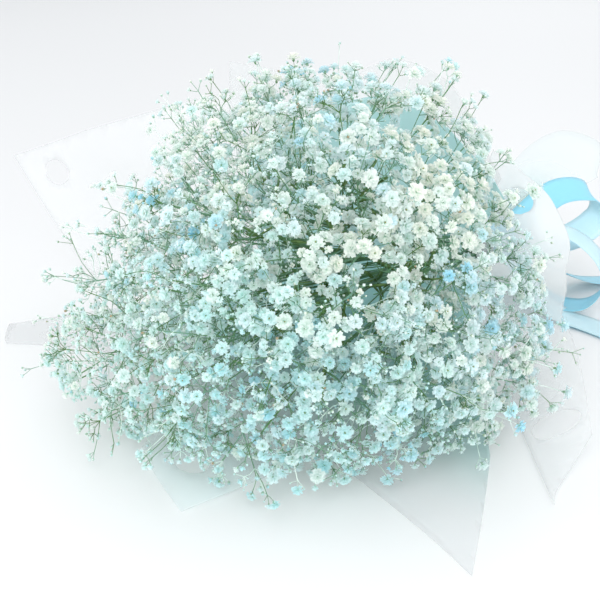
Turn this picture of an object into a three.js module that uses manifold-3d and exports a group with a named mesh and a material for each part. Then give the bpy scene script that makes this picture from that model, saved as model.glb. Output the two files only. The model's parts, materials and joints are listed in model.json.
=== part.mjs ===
// A hand-tied bouquet of double gypsophila (baby's breath), lying on its side.
//
// The cut stems pass through a tie. In front of the tie they fork again and again into one rounded
// head of small ruffled flowers, and behind it their cut ends stay straight. Sheets of film and one
// lining sheet are gathered round the tie, open out behind the flowers like a trumpet, and lie flat
// where they reach the table. A satin ribbon holds them, tied in a bow.
//
// Millimetres. The bouquet's axis is Y: the flowers look along -Y, the handle points along +Y.
// The table is z = 0. Everything is first placed round the tie, then centred over its own footprint.

import * as THREE from 'three';
import { mergeVertices } from 'three/addons/utils/BufferGeometryUtils.js';
import Module from 'manifold-3d';

const wasm = await Module();
wasm.setup();

// ---------------------------------------------------------------- driving dimensions

const TIE_HEIGHT = 45; // the tie's centre above the table
const STEM_RINGS = [
  { count: 1, radius: 0, spread: 0, fan: [90, 90] },
  { count: 5, radius: 4.9, spread: 0.467, fan: [-76, 271] },
  { count: 8, radius: 9.7, spread: 0.816, fan: [-24, 207] },
]; // how the stems stand in the tie, and how far out and between which angles they end in the head
// A branch or a twig is a little thinner where it is sunk into what it grows from.
const STEM = { root: 2.3, tip: 1.4, sides: 5 };
const BRANCH = { root: 1.15, tip: 1.4, sides: 4 };
const TWIG = { root: 0.75, tip: 0.95, sides: 3 };
const CUT_END = [70, 100]; // shortest and longest stem behind the tie

const HEAD_CENTRE = new THREE.Vector3(28, -226, 76);
const HEAD_HALF = { side: 131, front: 142, up: 134, down: 115 };
const HEAD_WRAPS_BACK = THREE.MathUtils.degToRad(120); // the head's edge, from its front pole
const HEAD_BUMPS = [
  { at: [-0.5, -0.73, -0.46], grows: 0.36 },
  { at: [-0.77, -0.44, 0.46], grows: -0.18 },
  { at: [-0.13, -0.59, -0.79], grows: -0.18 },
  { at: [0.27, -0.3, -0.92], grows: 0.38 },
  { at: [0.6, 0.08, -0.79], grows: 0.28 },
  { at: [-0.27, 0.3, 0.92], grows: 0.06 },
  { at: [0.74, 0.68, 0], grows: 0.07 },
]; // directions in which sprays reach further than the even dome, or less far
const BUMP_WIDTH = 0.45;
const UNDERSIDE = 8; // flowers this far below the table's level would be squashed, so there are none

const FLORET_TRIES = 262;
const FLORET_JITTER = { back: 0.05, around: 0.06 }; // radians off the even scatter
const FLORET_SPACING = 28.5; // neighbours push each other this far apart, where there is room
const PUSHES = 30;
const PUSH_SHARE = 0.3; // how much of a lack of room is made up by one push
const FLORET_DEPTHS = [0.9, 1.04];
const FLORET_RADIUS = [8.5, 14.2];
const FLORET_ROOM = 12; // the clear room that a floret is given to the sheets and the table
const SHEET_ROOM = { ahead: 0.8, wide: 1.15, gap: 3, least: 6 }; // how that room is kept to a sheet
const FLORET_GAP = 0.45; // between the rims of neighbours
const FLORETS_PER_SPRAY = 4;
const PETALS = 5;
const NECK = 0.62; // a floret's neck is this far behind its centre, as a share of its radius
const PETAL_TIP = [0.12, 1]; // ahead of the centre, and out from it
const PETAL_NOTCH = [0.3, 0.66];
const FLORET_DIP = 0.42;
const FORK = 0.8; // how far before the nearest place a twig leaves its axis, for its length
const FORK_APART = 4;
const STRAIGHT_RUN = 62; // how far the stems would run on before they have spread
const CROWN_DEPTH = 0.49; // where a main stalk ends, from the head's centre to its florets
const HUB_DEPTH = 0.66; // where a branch splits into twigs
const JOINTS = [0.39, 1]; // where branches leave the main stalk
const STALK_STEPS = 5;
const ELBOW = { share: 0.45, lean: 0.1 }; // where a branch bends, and how far it keeps its stalk's way
const LEAF = { length: 30, width: 5.5, thickness: 0.9, lean: 0.5, droop: 0.09 };
const LEAF_WIDTHS = [[0.22, 0.8], [0.5, 1]]; // [how far along, share of the full width]

const SHEET_THICKNESS = 0.8;
const COLLAR = 14; // the sheets stay straight this far each side of the tie
const OPENING_LENGTH = 50; // and reach their full slope over this length
const FOLDS = { height: 3.5, turns: 5, phase: 40, from: 60, over: 140 }; // the sheets' soft folds
const HOLE = { radius: 10, sides: 12, punch: 16 };
const FLORET_ABOVE_TABLE = 5.2; // the florets rest on the flat sheets

const BINDING = { inner: 12.5, outer: 13.9, width: 12, sides: 16 };
const RIBBON = { width: 25, thickness: 0.9, inner: 22, sides: 20 };
const RIBBON_STEPS = 1.5; // cross-sections of the ribbon for each stretch of a path
const KNOT = { at: [27, 0, 49], half: [6, 9.5, 8], meridians: 7, bands: 5 };
// The bow: two loops and two tails, each a path from the knot with the way its width points.
const BOW = [
  {
    path: [
      [27, 2, 53], [46, 10, 64], [72, 20, 64], [95, 27, 47], [101, 28, 26],
      [90, 22, 9], [68, 14, 7], [46, 8, 22], [31, 2, 46],
    ],
    across: [-0.32, 0.95, 0.05],
  },
  {
    path: [
      [27, -2, 54], [34, 14, 72], [47, 38, 90], [62, 60, 88],
      [68, 68, 68], [58, 54, 52], [42, 28, 47], [31, 2, 51],
    ],
    across: [0.7, -0.2, -0.45],
  },
  {
    path: [[31, 4, 47], [39, 18, 38], [50, 42, 22], [62, 70, 8], [76, 98, 3], [92, 124, 2.2]],
    across: [0.86, -0.42, 0.1],
  },
  {
    path: [[31, -2, 46], [43, -4, 34], [58, -3, 16], [80, 0, 4.5], [106, 2, 2.2], [134, 0, 2.2]],
    across: [0.05, 0.99, 0.02],
  },
];

const LOOKS = {
  flower: { color: 0xd9edf0, roughness: 0.7 },
  film: { color: 0xe9eff2, roughness: 0.35 },
  lining: { color: 0xc5e6f0, roughness: 0.6 },
  ribbon: { color: 0x9cd8f0, roughness: 0.3 },
  twine: { color: 0xb9c9b0, roughness: 0.9 },
};

// ---------------------------------------------------------------- small helpers

const GOLDEN_ANGLE = Math.PI * (3 - Math.sqrt(5));
const radians = THREE.MathUtils.degToRad;
const clamp = THREE.MathUtils.clamp;
const lerp = THREE.MathUtils.lerp;
const vec = (x, y, z) => new THREE.Vector3(x, y, z);
const ease = (t) => t * t * (3 - 2 * t);

// An even random number from 0 to 1 that depends only on its two whole numbers.
function draw(index, use) {
  let n = Math.imul(index + 1, 0x9e3779b1) ^ Math.imul(use + 1, 0x85ebca6b);
  n = Math.imul(n ^ (n >>> 15), 0x2c1b3c6d);
  n = Math.imul(n ^ (n >>> 12), 0x297a2d39);
  return ((n ^ (n >>> 15)) >>> 0) / 4294967296;
}

// A value read off a list of [angle, value] pairs, eased between them.
function along(table, angle, mix = (a, b, t) => lerp(a, b, ease(t))) {
  if (angle <= table[0][0]) return table[0][1];
  for (let i = 1; i < table.length; i++) {
    const [a1, v1] = table[i];
    if (angle > a1) continue;
    const [a0, v0] = table[i - 1];
    return mix(v0, v1, (angle - a0) / (a1 - a0));
  }
  return table[table.length - 1][1];
}
// A straight edge between two corners of a flat sheet, seen from the point where it is gathered.
const straightEdge = (a, b, t) => 1 / lerp(1 / a, 1 / b, t);

function solidOf(positions, faces) {
  const mesh = new wasm.Mesh({
    numProp: 3,
    vertProperties: Float32Array.from(positions.flatMap((p) => [p.x, p.y, p.z])),
    triVerts: Uint32Array.from(faces.flat()),
  });
  return new wasm.Manifold(mesh);
}

function geometryOf(positions, faces) {
  const geometry = new THREE.BufferGeometry();
  const numbers = positions.flatMap((p) => [p.x, p.y, p.z]);
  geometry.setAttribute('position', new THREE.Float32BufferAttribute(numbers, 3));
  geometry.setIndex(faces.flat());
  geometry.computeVertexNormals();
  return geometry;
}

function geometryOfSolid(solid) {
  const { vertProperties, triVerts, numProp } = solid.getMesh();
  const positions = [];
  for (let i = 0; i < vertProperties.length; i += numProp) {
    positions.push(vec(vertProperties[i], vertProperties[i + 1], vertProperties[i + 2]));
  }
  const faces = [];
  for (let i = 0; i < triVerts.length; i += 3) faces.push([...triVerts.slice(i, i + 3)]);
  return geometryOf(positions, faces);
}

function solidOfGeometry(geometry) {
  const bare = geometry.clone();
  bare.deleteAttribute('normal');
  bare.deleteAttribute('uv');
  const merged = mergeVertices(bare, 1e-4);
  const at = merged.getAttribute('position');
  const positions = Array.from({ length: at.count }, (_, i) => vec(at.getX(i), at.getY(i), at.getZ(i)));
  const index = merged.getIndex().array;
  const faces = [];
  for (let i = 0; i < index.length; i += 3) faces.push([index[i], index[i + 1], index[i + 2]]);
  return solidOf(positions, faces);
}

const joined = (solids) => solids.reduce((whole, solid) => whole.add(solid));

// Two unit vectors square to a direction.
function squareTo(direction) {
  const helper = Math.abs(direction.z) < 0.9 ? vec(0, 0, 1) : vec(1, 0, 0);
  const u = new THREE.Vector3().crossVectors(direction, helper).normalize();
  const v = new THREE.Vector3().crossVectors(direction, u).normalize();
  return [u, v];
}

// A stalk: a ring of points at each point of the path, tapering from root to tip. It ends in a
// floret: a cup of five petals, notched between them and dipped inside.
function stalk(path, { root, tip, sides }, floret) {
  const positions = [];
  const faces = [];
  let side = squareTo(path[1].clone().sub(path[0]).normalize())[0];
  let forward;
  let across;
  path.forEach((point, i) => {
    const before = path[Math.max(0, i - 1)];
    const after = path[Math.min(path.length - 1, i + 1)];
    forward = after.clone().sub(before).normalize();
    side = side.clone().addScaledVector(forward, -side.dot(forward)).normalize();
    across = new THREE.Vector3().crossVectors(forward, side);
    const radius = lerp(root, tip, i / (path.length - 1));
    for (let k = 0; k < sides; k++) positions.push(round(point, radius, (2 * Math.PI * k) / sides));
  });
  function round(point, radius, turn) {
    const out = point.clone().addScaledVector(side, radius * Math.cos(turn));
    return out.addScaledVector(across, radius * Math.sin(turn));
  }
  for (let i = 0; i + 1 < path.length; i++) {
    for (let k = 0; k < sides; k++) {
      const a = i * sides + k;
      const b = i * sides + ((k + 1) % sides);
      faces.push([a, b, b + sides], [a, b + sides, a + sides]);
    }
  }
  const last = positions.length - sides;
  for (let k = 1; k + 1 < sides; k++) faces.push([0, k + 1, k]);
  const rim = 2 * PETALS;
  const first = positions.length;
  const centre = path[path.length - 1].clone().addScaledVector(forward, NECK * floret.radius);
  for (let k = 0; k < rim; k++) {
    const [ahead, out] = k % 2 === 0 ? PETAL_TIP : PETAL_NOTCH;
    const point = centre.clone().addScaledVector(forward, ahead * floret.radius);
    positions.push(round(point, out * floret.radius, (2 * Math.PI * k) / rim));
  }
  positions.push(centre.clone().addScaledVector(forward, FLORET_DIP * floret.radius));
  for (let k = 0; k < rim; k++) {
    const next = (k + 1) % rim;
    const neck = last + (Math.round((k * sides) / rim) % sides);
    const neckNext = last + (Math.round((next * sides) / rim) % sides);
    faces.push([neck, first + next, first + k], [first + k, first + next, first + rim]);
    if (neck !== neckNext) faces.push([neck, neckNext, first + next]);
  }
  return solidOf(positions, faces);
}

// ---------------------------------------------------------------- the wrapping sheets

// Angles round the axis: 0 is +X, 90 is up, 180 is -X, 270 is down. Each sheet covers an arc. `slope`
// is how steeply it opens out at each angle, `rim` how far its edge is from the tie along the sheet,
// and `tail` how far it reaches behind the tie. `waist` is its radius in the tie and `lies` the
// height of its underside where it lies on the table, so each sheet lies over the one before.
const SHEETS = [
  {
    name: 'film_under', look: 'film', waist: 20.2, lies: 0, from: 190, to: 334, columns: 12,
    slope: [[190, 46], [206, 34], [240, 38], [270, 40], [300, 43], [334, 43]],
    rim: [[190, 215], [200, 405], [212, 408], [240, 345], [285, 350], [323, 396], [334, 262]],
    tail: [[190, 55], [334, 60]], tailSlope: 38,
    holes: [],
  },
  {
    name: 'film_right', look: 'film', waist: 18.6, lies: 1.2, from: -17, to: 62, columns: 9,
    slope: [[-17, 48], [0, 62], [22, 73], [62, 70]],
    rim: [[-17, 308], [-5, 246], [10, 160], [38, 168], [62, 140]],
    tail: [[-17, 60], [62, 70]], tailSlope: 36,
    curl: { angle: 30, reach: 36, from: 84, turn: 80 },
    holes: [{ angle: 36, s: 134 }, { angle: -11, s: 236 }],
  },
  {
    name: 'film_left', look: 'film', waist: 18.6, lies: 1.2, from: 136, to: 188, columns: 7,
    slope: [[136, 64], [166, 52], [188, 50]],
    rim: [[136, 214], [150, 285], [167, 412], [188, 325]],
    tail: [[136, 65], [188, 50]], tailSlope: 36,
    holes: [{ angle: 167, s: 366 }],
  },
  {
    name: 'film_back', look: 'film', waist: 17, lies: 2.4, from: 50, to: 150, columns: 10,
    slope: [[50, 62], [95, 66], [136, 56], [150, 53]],
    rim: [[50, 150], [72, 178], [92, 196], [112, 196], [133, 266], [150, 215]],
    tail: [[50, 60], [150, 70]], tailSlope: 33,
    holes: [{ angle: 130, s: 226 }],
  },
  {
    name: 'lining', look: 'lining', waist: 15.4, lies: 2.4, from: 44, to: 300, columns: 17,
    slope: [[44, 62], [95, 62], [136, 54], [164, 48], [190, 41], [208, 30], [240, 32], [270, 32], [300, 36]],
    rim: [
      [44, 140], [80, 152], [112, 182], [150, 200], [190, 178],
      [215, 200], [240, 262], [270, 402], [286, 446], [300, 300],
    ],
    tail: [[44, 118], [95, 150], [150, 128], [200, 70], [300, 60]], tailSlope: 29,
    holes: [{ angle: 280, s: 394 }],
  },
];
// The rows of a sheet: close together where it bends, and in the same places on every sheet there.
const BEND_ROWS = [-46, -30, -COLLAR, COLLAR, 26, 38, 51, 66, 90, 120];
const TAIL_SHARES = [1, 0.45];
const FRONT_SHARES = [0.45, 1];
const SUM_STEP = 4; // the step in which a sheet's slope is added up, in millimetres

function rowsOf(sheet, angle) {
  const ends = [BEND_ROWS[0], BEND_ROWS[BEND_ROWS.length - 1]];
  const tail = -along(sheet.tail, angle);
  const rim = along(sheet.rim, angle, straightEdge);
  return [
    ...TAIL_SHARES.map((share) => lerp(ends[0], tail, share)),
    ...BEND_ROWS,
    ...FRONT_SHARES.map((share) => lerp(ends[1], rim, share)),
  ];
}

// How far a sheet's big soft folds lift it off an even cone, at a distance s in front of the tie.
function fold(angle, s) {
  const share = clamp((s - FOLDS.from) / FOLDS.over, 0, 1);
  return FOLDS.height * Math.sin(radians(FOLDS.turns * angle + FOLDS.phase)) * share;
}

function slopeAt(sheet, angle, s, rim) {
  if (s < 0) return radians(sheet.tailSlope) * ease(clamp((-s - COLLAR) / OPENING_LENGTH, 0, 1));
  let slope = along(sheet.slope, angle) * ease(clamp((s - COLLAR) / OPENING_LENGTH, 0, 1));
  const curl = sheet.curl;
  if (curl) {
    const share = clamp(1 - Math.abs(angle - curl.angle) / curl.reach, 0, 1);
    slope += curl.turn * ease(share) * ease(clamp((s - curl.from) / (rim - curl.from), 0, 1));
  }
  return radians(slope);
}

// The sheet's radius and its distance in front of the tie, after s millimetres of sheet.
function profile(sheet, angle, s) {
  const rim = along(sheet.rim, angle, straightEdge);
  const steps = Math.max(1, Math.ceil(Math.abs(s) / SUM_STEP));
  const step = s / steps;
  let radius = sheet.waist;
  let ahead = 0;
  for (let i = 0; i < steps; i++) {
    const slope = slopeAt(sheet, angle, (i + 0.5) * step, rim);
    radius += Math.sin(slope) * Math.abs(step);
    ahead += Math.cos(slope) * step;
  }
  return { radius: radius + fold(angle, s), ahead };
}

function sheetPoint(sheet, angle, s) {
  const { radius, ahead } = profile(sheet, angle, s);
  const turn = radians(angle);
  const height = TIE_HEIGHT + radius * Math.sin(turn);
  return vec(radius * Math.cos(turn), -ahead, Math.max(height, sheet.lies + SHEET_THICKNESS));
}

function sheetSolid(sheet) {
  const { from, to, columns } = sheet;
  const rows = rowsOf(sheet, from).length;
  const inside = [];
  for (let c = 0; c < columns; c++) {
    const angle = lerp(from, to, c / (columns - 1));
    for (const s of rowsOf(sheet, angle)) inside.push(sheetPoint(sheet, angle, s));
  }
  const at = (c, r) => inside[clamp(c, 0, columns - 1) * rows + clamp(r, 0, rows - 1)];
  const positions = [...inside];
  for (let c = 0; c < columns; c++) {
    for (let r = 0; r < rows; r++) {
      const round = at(c + 1, r).clone().sub(at(c - 1, r));
      const ahead = at(c, r + 1).clone().sub(at(c, r - 1));
      const outward = new THREE.Vector3().crossVectors(round, ahead).normalize();
      const point = at(c, r).clone().addScaledVector(outward, SHEET_THICKNESS);
      point.z = Math.max(point.z, sheet.lies);
      positions.push(point);
    }
  }
  const faces = [];
  const skin = columns * rows;
  const quad = (a, b, c, d) => faces.push([a, b, c], [a, c, d]);
  for (let c = 0; c + 1 < columns; c++) {
    for (let r = 0; r + 1 < rows; r++) {
      const a = c * rows + r;
      quad(a, a + 1, a + rows + 1, a + rows);
      quad(skin + a, skin + a + rows, skin + a + rows + 1, skin + a + 1);
    }
    const tail = c * rows;
    const rim = tail + rows - 1;
    quad(tail, tail + rows, skin + tail + rows, skin + tail);
    quad(rim, skin + rim, skin + rim + rows, rim + rows);
  }
  for (let r = 0; r + 1 < rows; r++) {
    const last = (columns - 1) * rows + r;
    quad(r, skin + r, skin + r + 1, r + 1);
    quad(last, last + 1, skin + last + 1, skin + last);
  }
  return solidOf(positions, faces);
}

// A round punch through the sheet where a hole is, square to the sheet there.
function punch(sheet, { angle, s }) {
  const centre = sheetPoint(sheet, angle, s);
  const ahead = sheetPoint(sheet, angle, s + 4).sub(sheetPoint(sheet, angle, s - 4));
  const round = sheetPoint(sheet, angle + 2, s).sub(sheetPoint(sheet, angle - 2, s));
  const axis = new THREE.Vector3().crossVectors(ahead, round).normalize();
  const cylinder = new THREE.CylinderGeometry(HOLE.radius, HOLE.radius, HOLE.punch, HOLE.sides);
  cylinder.applyQuaternion(new THREE.Quaternion().setFromUnitVectors(vec(0, 1, 0), axis));
  cylinder.translate(centre.x, centre.y, centre.z);
  return solidOfGeometry(cylinder);
}

// The room there is inside the sheets, as a radius round the axis, at an angle and a distance ahead.
const ROOM_STEP = { angle: 2, s: 6 };
const EDGE_MARGIN = 3; // degrees past its last edge in which a sheet still counts
const roomTable = SHEETS.map((sheet) => {
  const columns = [];
  for (let angle = sheet.from; angle <= sheet.to; angle += ROOM_STEP.angle) {
    const rim = along(sheet.rim, angle, straightEdge);
    const line = [];
    for (let s = 0; s <= rim; s += ROOM_STEP.s) line.push(profile(sheet, angle, s));
    columns.push({ angle, line });
  }
  return { sheet, columns };
});

function roomAt(angle, ahead) {
  let room = Infinity;
  for (const { sheet, columns } of roomTable) {
    const own = THREE.MathUtils.euclideanModulo(angle - sheet.from, 360) + sheet.from;
    if (own > sheet.to + EDGE_MARGIN) continue;
    const nearest = Math.round((own - sheet.from) / ROOM_STEP.angle);
    const { line } = columns[clamp(nearest, 0, columns.length - 1)];
    for (let i = 1; i < line.length; i++) {
      const [a, b] = [line[i - 1], line[i]];
      if (a.ahead > ahead || b.ahead <= ahead || b.ahead <= a.ahead) continue;
      const radius = lerp(a.radius, b.radius, (ahead - a.ahead) / (b.ahead - a.ahead));
      const height = TIE_HEIGHT + radius * Math.sin(radians(own));
      if (height > sheet.lies + SHEET_THICKNESS) room = Math.min(room, radius);
      break;
    }
  }
  return room;
}

// ---------------------------------------------------------------- the flower head

// A place in the head: `around` and `back` are its direction, from the front pole, and `depth` is 1
// on the dome and 0 at the head's centre.
function inHead(around, back, depth) {
  const rise = Math.sin(back) * Math.sin(around);
  const unit = vec(Math.sin(back) * Math.cos(around), -Math.cos(back), rise);
  let reach = 1;
  for (const bump of HEAD_BUMPS) {
    const off = unit.distanceTo(vec(...bump.at).normalize());
    reach += bump.grows * Math.exp(-((off / BUMP_WIDTH) ** 2));
  }
  const half = vec(HEAD_HALF.side, HEAD_HALF.front, rise > 0 ? HEAD_HALF.up : HEAD_HALF.down);
  return unit.multiply(half).multiplyScalar(depth * reach).add(HEAD_CENTRE);
}

// Pull a ball of this radius in until it is clear of the sheets and of the table.
function settled(point, radius) {
  const p = point.clone();
  p.z = Math.max(p.z, FLORET_ABOVE_TABLE + radius);
  const [x, z] = [p.x, p.z - TIE_HEIGHT];
  const out = Math.hypot(x, z);
  const angle = THREE.MathUtils.radToDeg(Math.atan2(z, x));
  const { ahead, wide, gap, least } = SHEET_ROOM;
  const clear = Math.min(roomAt(angle, -p.y), roomAt(angle, -p.y + radius * ahead));
  const room = clear - radius * wide - gap;
  if (out > room) {
    const share = Math.max(room, least) / out;
    p.x *= share;
    p.z = Math.max(TIE_HEIGHT + z * share, FLORET_ABOVE_TABLE + radius);
  }
  return p;
}

const stems = STEM_RINGS.flatMap(({ count, radius, spread, fan }) =>
  Array.from({ length: count }, (_, k) => {
    const share = (k + 0.5) / count;
    const inTie = 2 * Math.PI * share - Math.PI / 2;
    const ends = radians(lerp(...fan, share));
    return {
      slot: vec(radius * Math.cos(inTie), 0, TIE_HEIGHT + radius * Math.sin(inTie)),
      disc: vec(spread * Math.cos(ends), spread * Math.sin(ends), 0),
      florets: [],
    };
  }),
);

// Scatter the florets evenly over the dome, each at its own depth.
let florets = [];
for (let i = 0; i < FLORET_TRIES; i++) {
  const share = (i + 0.5) / FLORET_TRIES;
  const evenBack = Math.acos(1 - share * (1 - Math.cos(HEAD_WRAPS_BACK)));
  const back = evenBack + FLORET_JITTER.back * (draw(i, 1) - 0.5);
  const shift = (FLORET_JITTER.around * (draw(i, 2) - 0.5)) / Math.max(0.3, Math.sin(back));
  const around = i * GOLDEN_ANGLE + shift;
  const free = inHead(around, back, lerp(...FLORET_DEPTHS, draw(i, 3)));
  if (free.z < -UNDERSIDE) continue;
  const out = back / HEAD_WRAPS_BACK;
  const disc = vec(out * Math.cos(around), out * Math.sin(around), 0);
  florets.push({ centre: settled(free, FLORET_ROOM), disc });
}

// Neighbours that stand too close push each other aside along the dome.
for (let round = 0; round < PUSHES; round++) {
  const moves = florets.map((floret) => {
    const outward = floret.centre.clone().sub(HEAD_CENTRE).normalize();
    const move = vec(0, 0, 0);
    for (const other of florets) {
      const away = floret.centre.clone().sub(other.centre);
      const lack = FLORET_SPACING - away.length();
      if (other !== floret && lack > 0) move.addScaledVector(away.normalize(), PUSH_SHARE * lack);
    }
    return move.addScaledVector(outward, -move.dot(outward));
  });
  florets.forEach((floret, i) => {
    floret.centre = settled(floret.centre.clone().add(moves[i]), FLORET_ROOM);
  });
}
florets = florets.filter((floret, i) =>
  florets.slice(0, i).every((other) => other.centre.distanceTo(floret.centre) > 2 * FLORET_RADIUS[0]),
);
for (const floret of florets) {
  const beside = (stem) => stem.disc.distanceTo(floret.disc);
  stems.reduce((a, b) => (beside(b) < beside(a) ? b : a)).florets.push(floret);
}
for (const floret of florets) {
  const gaps = florets.filter((o) => o !== floret).map((o) => o.centre.distanceTo(floret.centre));
  const most = Math.min(Math.min(...gaps) / 2 - FLORET_GAP, floret.centre.z - FLORET_ABOVE_TABLE);
  floret.radius = clamp(most, FLORET_RADIUS[0], FLORET_RADIUS[1]);
}

// The florets of a stem, gathered into sprays of neighbours.
function spraysOf(stem) {
  const count = Math.max(1, Math.round(stem.florets.length / FLORETS_PER_SPRAY));
  const middle = centreOf(stem.florets);
  const seeds = [stem.florets.reduce((a, b) => (apart(b, middle) > apart(a, middle) ? b : a))];
  const lone = (floret) => Math.min(...seeds.map((seed) => apart(floret, seed.centre)));
  while (seeds.length < count) seeds.push(stem.florets.reduce((a, b) => (lone(b) > lone(a) ? b : a)));
  const sprays = seeds.map(() => []);
  for (const floret of stem.florets) {
    const gaps = seeds.map((seed) => apart(floret, seed.centre));
    sprays[gaps.indexOf(Math.min(...gaps))].push(floret);
  }
  return sprays;
}
function apart(floret, point) {
  return floret.centre.distanceTo(point);
}
function centreOf(some) {
  return some.reduce((sum, floret) => sum.add(floret.centre), vec(0, 0, 0)).divideScalar(some.length);
}
// A point part of the way from the head's centre to another.
function towards(point, share) {
  return HEAD_CENTRE.clone().lerp(point, share);
}

// The lines that a stem grows along. Each spray has an axis that ends in its furthest floret, and a
// twig to each of its other florets, which leaves the axis at a fork. The axis of the last spray
// carries the main stalk on.
function skeletonOf(stem, index) {
  const cut = stem.slot.clone().add(vec(0, lerp(...CUT_END, draw(index, 11)), 0));
  const leaves = stem.slot.clone().add(vec(0, -COLLAR, 0));
  const heads = stem.slot.clone().add(vec(0, -STRAIGHT_RUN, 0));
  const crown = towards(centreOf(stem.florets), CROWN_DEPTH);
  const bend = new THREE.QuadraticBezierCurve3(leaves, heads, crown);
  const sprays = spraysOf(stem).map((some) => ({ some, hub: towards(centreOf(some), HUB_DEPTH) }));
  sprays.sort((a, b) => b.hub.distanceTo(crown) - a.hub.distanceTo(crown));
  return sprays.map(({ some, hub }, k) => {
    const last = k === sprays.length - 1;
    const share = last ? 1 : lerp(...JOINTS, k / (sprays.length - 1));
    const joint = bend.getPoint(share);
    const elbow = joint.clone().lerp(hub, ELBOW.share);
    elbow.addScaledVector(bend.getTangent(share), ELBOW.lean * joint.distanceTo(hub));
    const leader = some.reduce((a, b) => (apart(b, joint) > apart(a, joint) ? b : a));
    const neck = neckOf(hub, leader);
    const start = last ? [cut, leaves, ...bend.getPoints(STALK_STEPS).slice(1)] : [joint];
    const twigs = forksOf([elbow, hub, neck], some.filter((floret) => floret !== leader));
    return { path: [...start, elbow, hub, neck], leader, twigs, main: last };
  });
}

// Where a floret's neck is, on the way to it from a point.
function neckOf(from, floret) {
  const back = from.clone().sub(floret.centre).normalize();
  return floret.centre.clone().addScaledVector(back, NECK * floret.radius);
}

// Where each floret's twig leaves an axis: a little before the nearest place, so that it forks.
function forksOf(line, some) {
  const lengths = [line[0].distanceTo(line[1]), line[1].distanceTo(line[2])];
  const whole = lengths[0] + lengths[1];
  const at = (s) => {
    if (s < lengths[0]) return line[0].clone().lerp(line[1], s / lengths[0]);
    return line[1].clone().lerp(line[2], (s - lengths[0]) / lengths[1]);
  };
  const forks = some.map((floret) => {
    let best = { s: 0, apart: Infinity };
    for (let s = 0; s <= whole; s += 2) {
      const far = apart(floret, at(s));
      if (far < best.apart) best = { s, apart: far };
    }
    return { floret, s: best.s - FORK * best.apart };
  });
  forks.sort((a, b) => a.s - b.s);
  let free = 0;
  const room = whole - FORK_APART * forks.length;
  return forks.map(({ floret, s }, k) => {
    free = Math.max(free, Math.min(s, room + k * FORK_APART));
    const root = at(free);
    free += FORK_APART;
    return { floret, path: [root, neckOf(root, floret)] };
  });
}

// A flat pointed leaf with a raised rib, from its foot to its tip.
function leafAt(foot, course, index) {
  const [u, v] = squareTo(course);
  const turn = 2 * Math.PI * draw(index, 12);
  const side = u.clone().multiplyScalar(Math.cos(turn)).addScaledVector(v, Math.sin(turn));
  const lean = new THREE.Vector3().crossVectors(course, side).multiplyScalar(LEAF.lean);
  const forward = course.clone().add(lean).normalize();
  const up = new THREE.Vector3().crossVectors(forward, side);
  const { length, width, thickness, droop } = LEAF;
  function place(ahead, out, lift) {
    const point = foot.clone().addScaledVector(forward, ahead * length);
    return point.addScaledVector(side, out).addScaledVector(up, lift);
  }
  const positions = [place(0, 0, 0), place(1, 0, -droop * length)];
  for (const [ahead, share] of LEAF_WIDTHS) {
    const out = (share * width) / 2;
    positions.push(place(ahead, out, 0), place(ahead, 0, thickness));
    positions.push(place(ahead, -out, 0), place(ahead, 0, -thickness));
  }
  const faces = [];
  for (let k = 0; k < 4; k++) {
    const next = (k + 1) % 4;
    faces.push([0, 2 + next, 2 + k], [1, 6 + k, 6 + next]);
    faces.push([2 + k, 2 + next, 6 + next], [2 + k, 6 + next, 6 + k]);
  }
  return solidOf(positions, faces);
}

function stemSolid(skeleton, index) {
  const solids = skeleton.flatMap(({ path, leader, twigs, main }) => [
    stalk(path, main ? STEM : BRANCH, leader),
    ...twigs.map((twig) => stalk(twig.path, TWIG, twig.floret)),
  ]);
  const [hub, elbow] = [...skeleton[0].path].reverse().slice(1, 3);
  solids.push(leafAt(elbow, hub.clone().sub(elbow).normalize(), index));
  return joined(solids);
}

// ---------------------------------------------------------------- what holds the bouquet

function ring(inner, outer, width, sides) {
  const half = width / 2;
  const corners = [[inner, -half], [outer, -half], [outer, half], [inner, half], [inner, -half]];
  const profileLine = corners.map(([r, y]) => new THREE.Vector2(r, y));
  return solidOfGeometry(new THREE.LatheGeometry(profileLine, sides)).translate([0, 0, TIE_HEIGHT]);
}

// A flat strip of ribbon along a smooth path, with its width always square to the path.
function strip({ path, across }) {
  const curve = new THREE.CatmullRomCurve3(path.map((p) => vec(...p)));
  const steps = Math.round(RIBBON_STEPS * (path.length - 1));
  const positions = [];
  for (let i = 0; i <= steps; i++) {
    const point = curve.getPoint(i / steps);
    const ahead = curve.getTangent(i / steps);
    const side = vec(...across).addScaledVector(ahead, -vec(...across).dot(ahead)).normalize();
    const face = new THREE.Vector3().crossVectors(ahead, side);
    for (const [a, b] of [[-1, -1], [1, -1], [1, 1], [-1, 1]]) {
      const corner = point.clone().addScaledVector(side, (a * RIBBON.width) / 2);
      positions.push(corner.addScaledVector(face, (b * RIBBON.thickness) / 2));
    }
  }
  const faces = [];
  for (let i = 0; i < steps; i++) {
    for (let k = 0; k < 4; k++) {
      const [a, b] = [4 * i + k, 4 * i + ((k + 1) % 4)];
      faces.push([a, b, b + 4], [a, b + 4, a + 4]);
    }
  }
  const last = 4 * steps;
  faces.push([0, 2, 1], [0, 3, 2], [last, last + 1, last + 2], [last, last + 2, last + 3]);
  return solidOf(positions, faces);
}

function ribbonSolid() {
  const band = ring(RIBBON.inner, RIBBON.inner + RIBBON.thickness, RIBBON.width, RIBBON.sides);
  const knot = new THREE.SphereGeometry(1, KNOT.meridians, KNOT.bands);
  knot.scale(...KNOT.half).translate(...KNOT.at);
  return joined([band, solidOfGeometry(knot), ...BOW.map(strip)]);
}

// ---------------------------------------------------------------- the parts

const parts = new THREE.Group();
parts.name = 'gypsophila_bouquet';

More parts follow.
